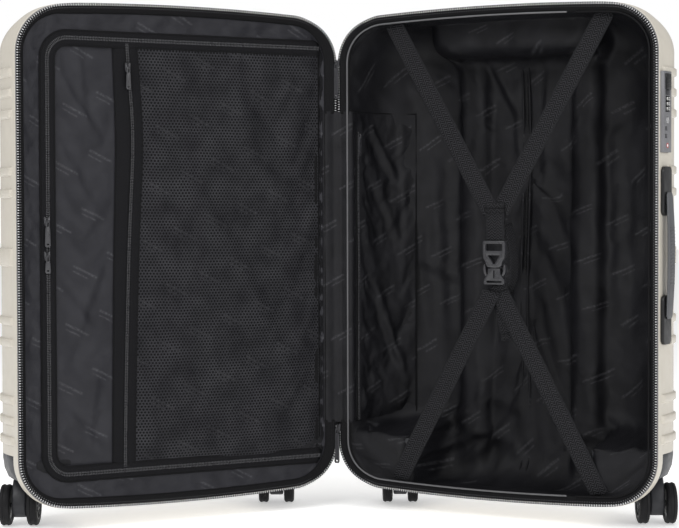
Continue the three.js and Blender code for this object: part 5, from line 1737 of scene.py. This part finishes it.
def dial_digits(name, node):
    """White digits round a dial, each stroke a thin raised bar bent to the dial's face."""
    centre = node_centre(node)
    body = frame["nodes"][node]["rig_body"]
    spot = Placed(body, centre, [(1, 0, 0), (0, 1, 0), (0, 0, 1)])
    radius, wide, high, pen = 6.04, 1.5, 1.45, 0.5
    bars = []
    for digit, strokes in DIGITS.items():
        around = digit * 2 * math.pi / 10
        for stroke in strokes.split():
            (x0, z0), (x1, z1) = STROKES[stroke]
            a = ((x0 - 0.5) * wide, (z0 - 1) * high)
            b = ((x1 - 0.5) * wide, (z1 - 1) * high)
            low = (min(a[0], b[0]) - pen / 2, min(a[1], b[1]) - pen / 2)
            top = (max(a[0], b[0]) + pen / 2, max(a[1], b[1]) + pen / 2)
            points = []
            for lift in (radius - 0.1, radius + 0.05):
                for s, z in ((low[0], low[1]), (top[0], low[1]), (top[0], top[1]), (low[0], top[1])):
                    turn = around + s / radius
                    points.append((lift * math.cos(turn), lift * math.sin(turn), z))
            faces = [[0, 3, 2, 1], [4, 5, 6, 7], [0, 1, 5, 4], [1, 2, 6, 5], [2, 3, 7, 6], [3, 0, 4, 7]]
            bars.append(built(f"{name}_{digit}_{stroke}", spot, points, faces, white_look, body=body,
                              sharp=30))
    profile = [(1.4, -2.3), (5.5, -2.3), (6.0, -1.8), (6.0, 1.8), (5.5, 2.3), (1.4, 2.3), (1.4, -2.3)]
    drum = lathe(f"{name}_drum", spot, profile, black_look, steps=60, sharp=30, slot="dial_plastic",
                 body=body)
    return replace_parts(joined(name, [drum] + bars), node)


for i in (1, 2, 3):
    dial_digits(f"dial_wheel_{i}", f"lock_dial_{i}")
LOCK_FACE, DOT_Z = 450.4, 466.0
ring = Placed("base", BASE.put([(LOCK_FACE, LOCK_Y, DOT_Z)])[0] / MM, [(0, 1, 0), (0, 0, 1), (1, 0, 0)])
lathe("lock_dot_ring", ring, [(2.2, -0.2), (2.2, 0.25), (2.9, 0.3), (3.3, -0.2), (2.2, -0.2)], mark_look,
      steps=32, sharp=40, slot="grey_plastic")
lathe("lock_dot", ring, [(0, 0.2), (1.7, 0.2), (2.0, -0.2), (0, -0.2)], white_look, steps=32, sharp=40,
      slot="grey_plastic")


# ---------------------------------------------------------------- handles

def bar_between(name, sections, body):
    """A moulded bar lofted through closed sections, each a list of points."""
    loops = np.array(sections, float)
    return built(name, BASE, loops.reshape(-1, 3), capped_faces(*loops.shape[:2]), handle_look,
                 slot="grey_plastic", body=body, sharp=60)


def oval(half_wide, half_deep, power):
    """A rounded, squarish section."""
    turn = np.arange(20) * 2 * math.pi / 20
    c, s = np.cos(turn), np.sin(turn)
    return np.stack([np.sign(c) * np.abs(c) ** (2 / power) * half_wide,
                     np.sign(s) * np.abs(s) ** (2 / power) * half_deep], 1)


GRIP_HALF = 76.0


def side_handle():
    """The arched grip with its ribs and legs, and the cap over each end."""
    middle_y, low_x = 18.0, OUTER_X + 4.9
    sections = []
    for z in np.linspace(-GRIP_HALF, GRIP_HALF, 49):
        t = z / GRIP_HALF
        thick = 1.5 + 0.9 * (1 - t * t)
        bow = 1.5 * (1 - t * t)
        end = 1.0 if abs(t) < 1 else 0.75
        shape = oval(thick * end, (9.6 - 1.2 * abs(t) ** 3) * end, 3.2)
        sections.append([(low_x + bow + 1.5 + 0.9 * (1 - t * t) + x, middle_y + y, MID_Z + z) for x,
                         y in shape])
    parts = [bar_between("grip_bar", sections, "side_handle_grip")]
    for i in range(17):
        z = (i - 8) * 4.2
        t = z / GRIP_HALF
        out = low_x + 1.5 * (1 - t * t) + 2 * (1.5 + 0.9 * (1 - t * t))
        rib = rounded_rectangle(middle_y - 6.5, middle_y + 6.5, MID_Z + z - 1.0, MID_Z + z + 1.0, 0.9)
        parts.append(solid_outline(f"grip_rib_{i}", BASE, rib, out - 0.5, out + 0.4, handle_look, axis="x",
                                   round_by=0.3, body="side_handle_grip"))
    for z in LEG_CENTRES:
        parts.append(solid_outline(f"grip_leg_{int(z)}", BASE,
                                   rounded_rectangle(440.8, low_x + 2.0, 12.0, 24.0, 1.0),
                                   z - 6, z + 6, black_look, axis="z", round_by=0.5,
                                   body="side_handle_grip"))
    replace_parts(joined("side_grip", parts), "side_handle_grip")
    for side, where in ((-1, "lower"), (1, "upper")):
        leg = MID_Z + side * 66
        outer, inner = MID_Z + side * 107, MID_Z + side * 48
        low, high = min(outer, inner), max(outer, inner)
        hole = rounded_rectangle(11.7, 24.3, leg - 6.3, leg + 6.3, 0.8, 2)
        cap = solid_outline(f"side_cap_{where}", BASE, rounded_rectangle(5.0, 31.0, low, high, 7.0, 7),
                            OUTER_X + 0.3, OUTER_X + 4.4, black_look, axis="x", holes=[hole], round_by=1.6,
                            segments=3, slot="black_plastic")
        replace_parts(cap, f"side_handle_cap_{where}")


def top_handle():
    """The flat grip over the cup in the top edge."""
    half, top, middle_y = 86.0, 647.0, 67.0
    sections = []
    for x in np.linspace(-half, half, 41):
        t = x / half
        end = 0.8 if abs(t) == 1 else 1.0
        shape = oval((9.0 - 1.0 * t * t) * end, (3.1 + 0.3 * (1 - t * t)) * end, 3.0)
        sections.append([(MID_X + x, middle_y + a, top - 3.5 + b - 0.8 * t * t) for a, b in shape])
    parts = [bar_between("top_bar", sections, "top_handle_grip")]
    for side in (-1, 1):
        x0, x1 = sorted((MID_X + side * half, MID_X + side * (half - 8)))
        parts.append(solid_outline(f"top_leg_{side}", BASE, rounded_rectangle(x0, x1, 60.0, 74.0, 1.5),
                                   627.5, 643.5,
                                   black_look, axis="z", round_by=0.6, body="top_handle_grip"))
    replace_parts(joined("top_grip", parts), "top_handle_grip")
    refined("top_cup", "top_handle_cup", black_look, 0.5)


side_handle()
top_handle()


# ---------------------------------------------------------------- trolley

refined("trolley_top", "trolley_housing", grey_look, 0.9, segments=3)
refined("trolley_push", "trolley_button", grey_look, 0.8)
for stage in ("outer", "middle", "inner"):
    for where in ("left", "right"):
        refined(f"trolley_{stage}_{where}", f"trolley_{stage}_tube_{where}", aluminium_look, 0.35)
refined("trolley_handle", "trolley_grip", black_look, 2.2, segments=3)


# ---------------------------------------------------------------- stage, light and camera

def area_light(name, place, size, power):
    """A rectangular lamp that faces the middle of the case."""
    light = bpy.data.lights.new(name, "AREA")
    light.shape = "RECTANGLE"
    light.size, light.size_y = size
    light.energy = power
    obj = linked(name, light)
    obj.location = place
    obj.rotation_mode = "QUATERNION"
    obj.rotation_quaternion = (Vector(LIT_POINT) - Vector(place)).to_track_quat("-Z", "Y")


def camera_space(right, away, up):
    """A point given from the hinge line: to the camera's right, away from the camera, and above the floor."""
    return tuple(HINGE + right * VIEW_RIGHT + away * VIEW_AWAY + np.array((0.0, 0.0, up)))


# The camera stands on the line that halves the angle between the two halves.
HALF_TURN = math.pi / 2 - OPEN / 2
VIEW_RIGHT = np.array([math.cos(HALF_TURN), math.sin(HALF_TURN), 0.0])
VIEW_AWAY = np.array([-math.sin(HALF_TURN), math.cos(HALF_TURN), 0.0])
CAMERA_DISTANCE, CAMERA_HEIGHT, CAMERA_RIGHT = 2.564, 0.396, 0.0024
PITCH, ROLL = math.radians(-1.73), math.radians(-0.17)

camera_data = bpy.data.cameras.new("camera")
camera_data.sensor_width = 36.0
camera_data.lens = 103.7
camera_data.clip_start = 0.05
camera = linked("camera", camera_data)
camera.location = camera_space(CAMERA_RIGHT, -CAMERA_DISTANCE, CAMERA_HEIGHT)
turn = (Matrix.Rotation(HALF_TURN, 4, "Z") @ Matrix.Rotation(math.pi / 2 + PITCH, 4, "X")
        @ Matrix.Rotation(ROLL, 4, "Z"))
camera.rotation_mode = "QUATERNION"
camera.rotation_quaternion = turn.to_quaternion()
bpy.context.scene.camera = camera

floor_mesh = bpy.data.meshes.new("floor")
FLOOR_HALF = 14
floor_corners = [(x * FLOOR_HALF, y * FLOOR_HALF, 0) for x, y in ((-1, -1), (1, -1), (1, 1), (-1, 1))]
floor_mesh.from_pydata(floor_corners, [], [(0, 1, 2, 3)])
floor = linked("floor", floor_mesh)
floor_look = Graph("floor", (0.93, 0.93, 0.93), 0.7, Emission_Color=(1.0, 1.0, 1.0, 1.0),
                   Emission_Strength=0.42)
floor_mesh.materials.append(floor_look.material)

# The studio's surroundings look white, and light the case more softly than that.
WORLD_LIGHT = 0.42
world = bpy.data.worlds.new("studio")
world.use_nodes = True
nodes, links = world.node_tree.nodes, world.node_tree.links
nodes["Background"].inputs["Strength"].default_value = WORLD_LIGHT
seen = nodes.new("ShaderNodeBackground")
seen.inputs["Color"].default_value = nodes["Background"].inputs["Color"].default_value = (1.0, 1.0, 1.0, 1.0)
choice = nodes.new("ShaderNodeMixShader")
links.new(nodes.new("ShaderNodeLightPath").outputs["Is Camera Ray"], choice.inputs[0])
links.new(nodes["Background"].outputs[0], choice.inputs[1])
links.new(seen.outputs[0], choice.inputs[2])
links.new(choice.outputs[0], nodes["World Output"].inputs["Surface"])
bpy.context.scene.world = world
bpy.context.scene.view_settings.view_transform = "Standard"

LIT_POINT = tuple(HINGE + np.array((0.0, 0.0, 0.33)))
area_light("key", camera_space(-1.3, -2.2, 2.1), (1.6, 1.1), 36)
area_light("fill", camera_space(1.7, -2.0, 1.3), (1.3, 1.3), 20)
area_light("top", camera_space(0.0, -0.3, 2.6), (2.0, 1.2), 22)
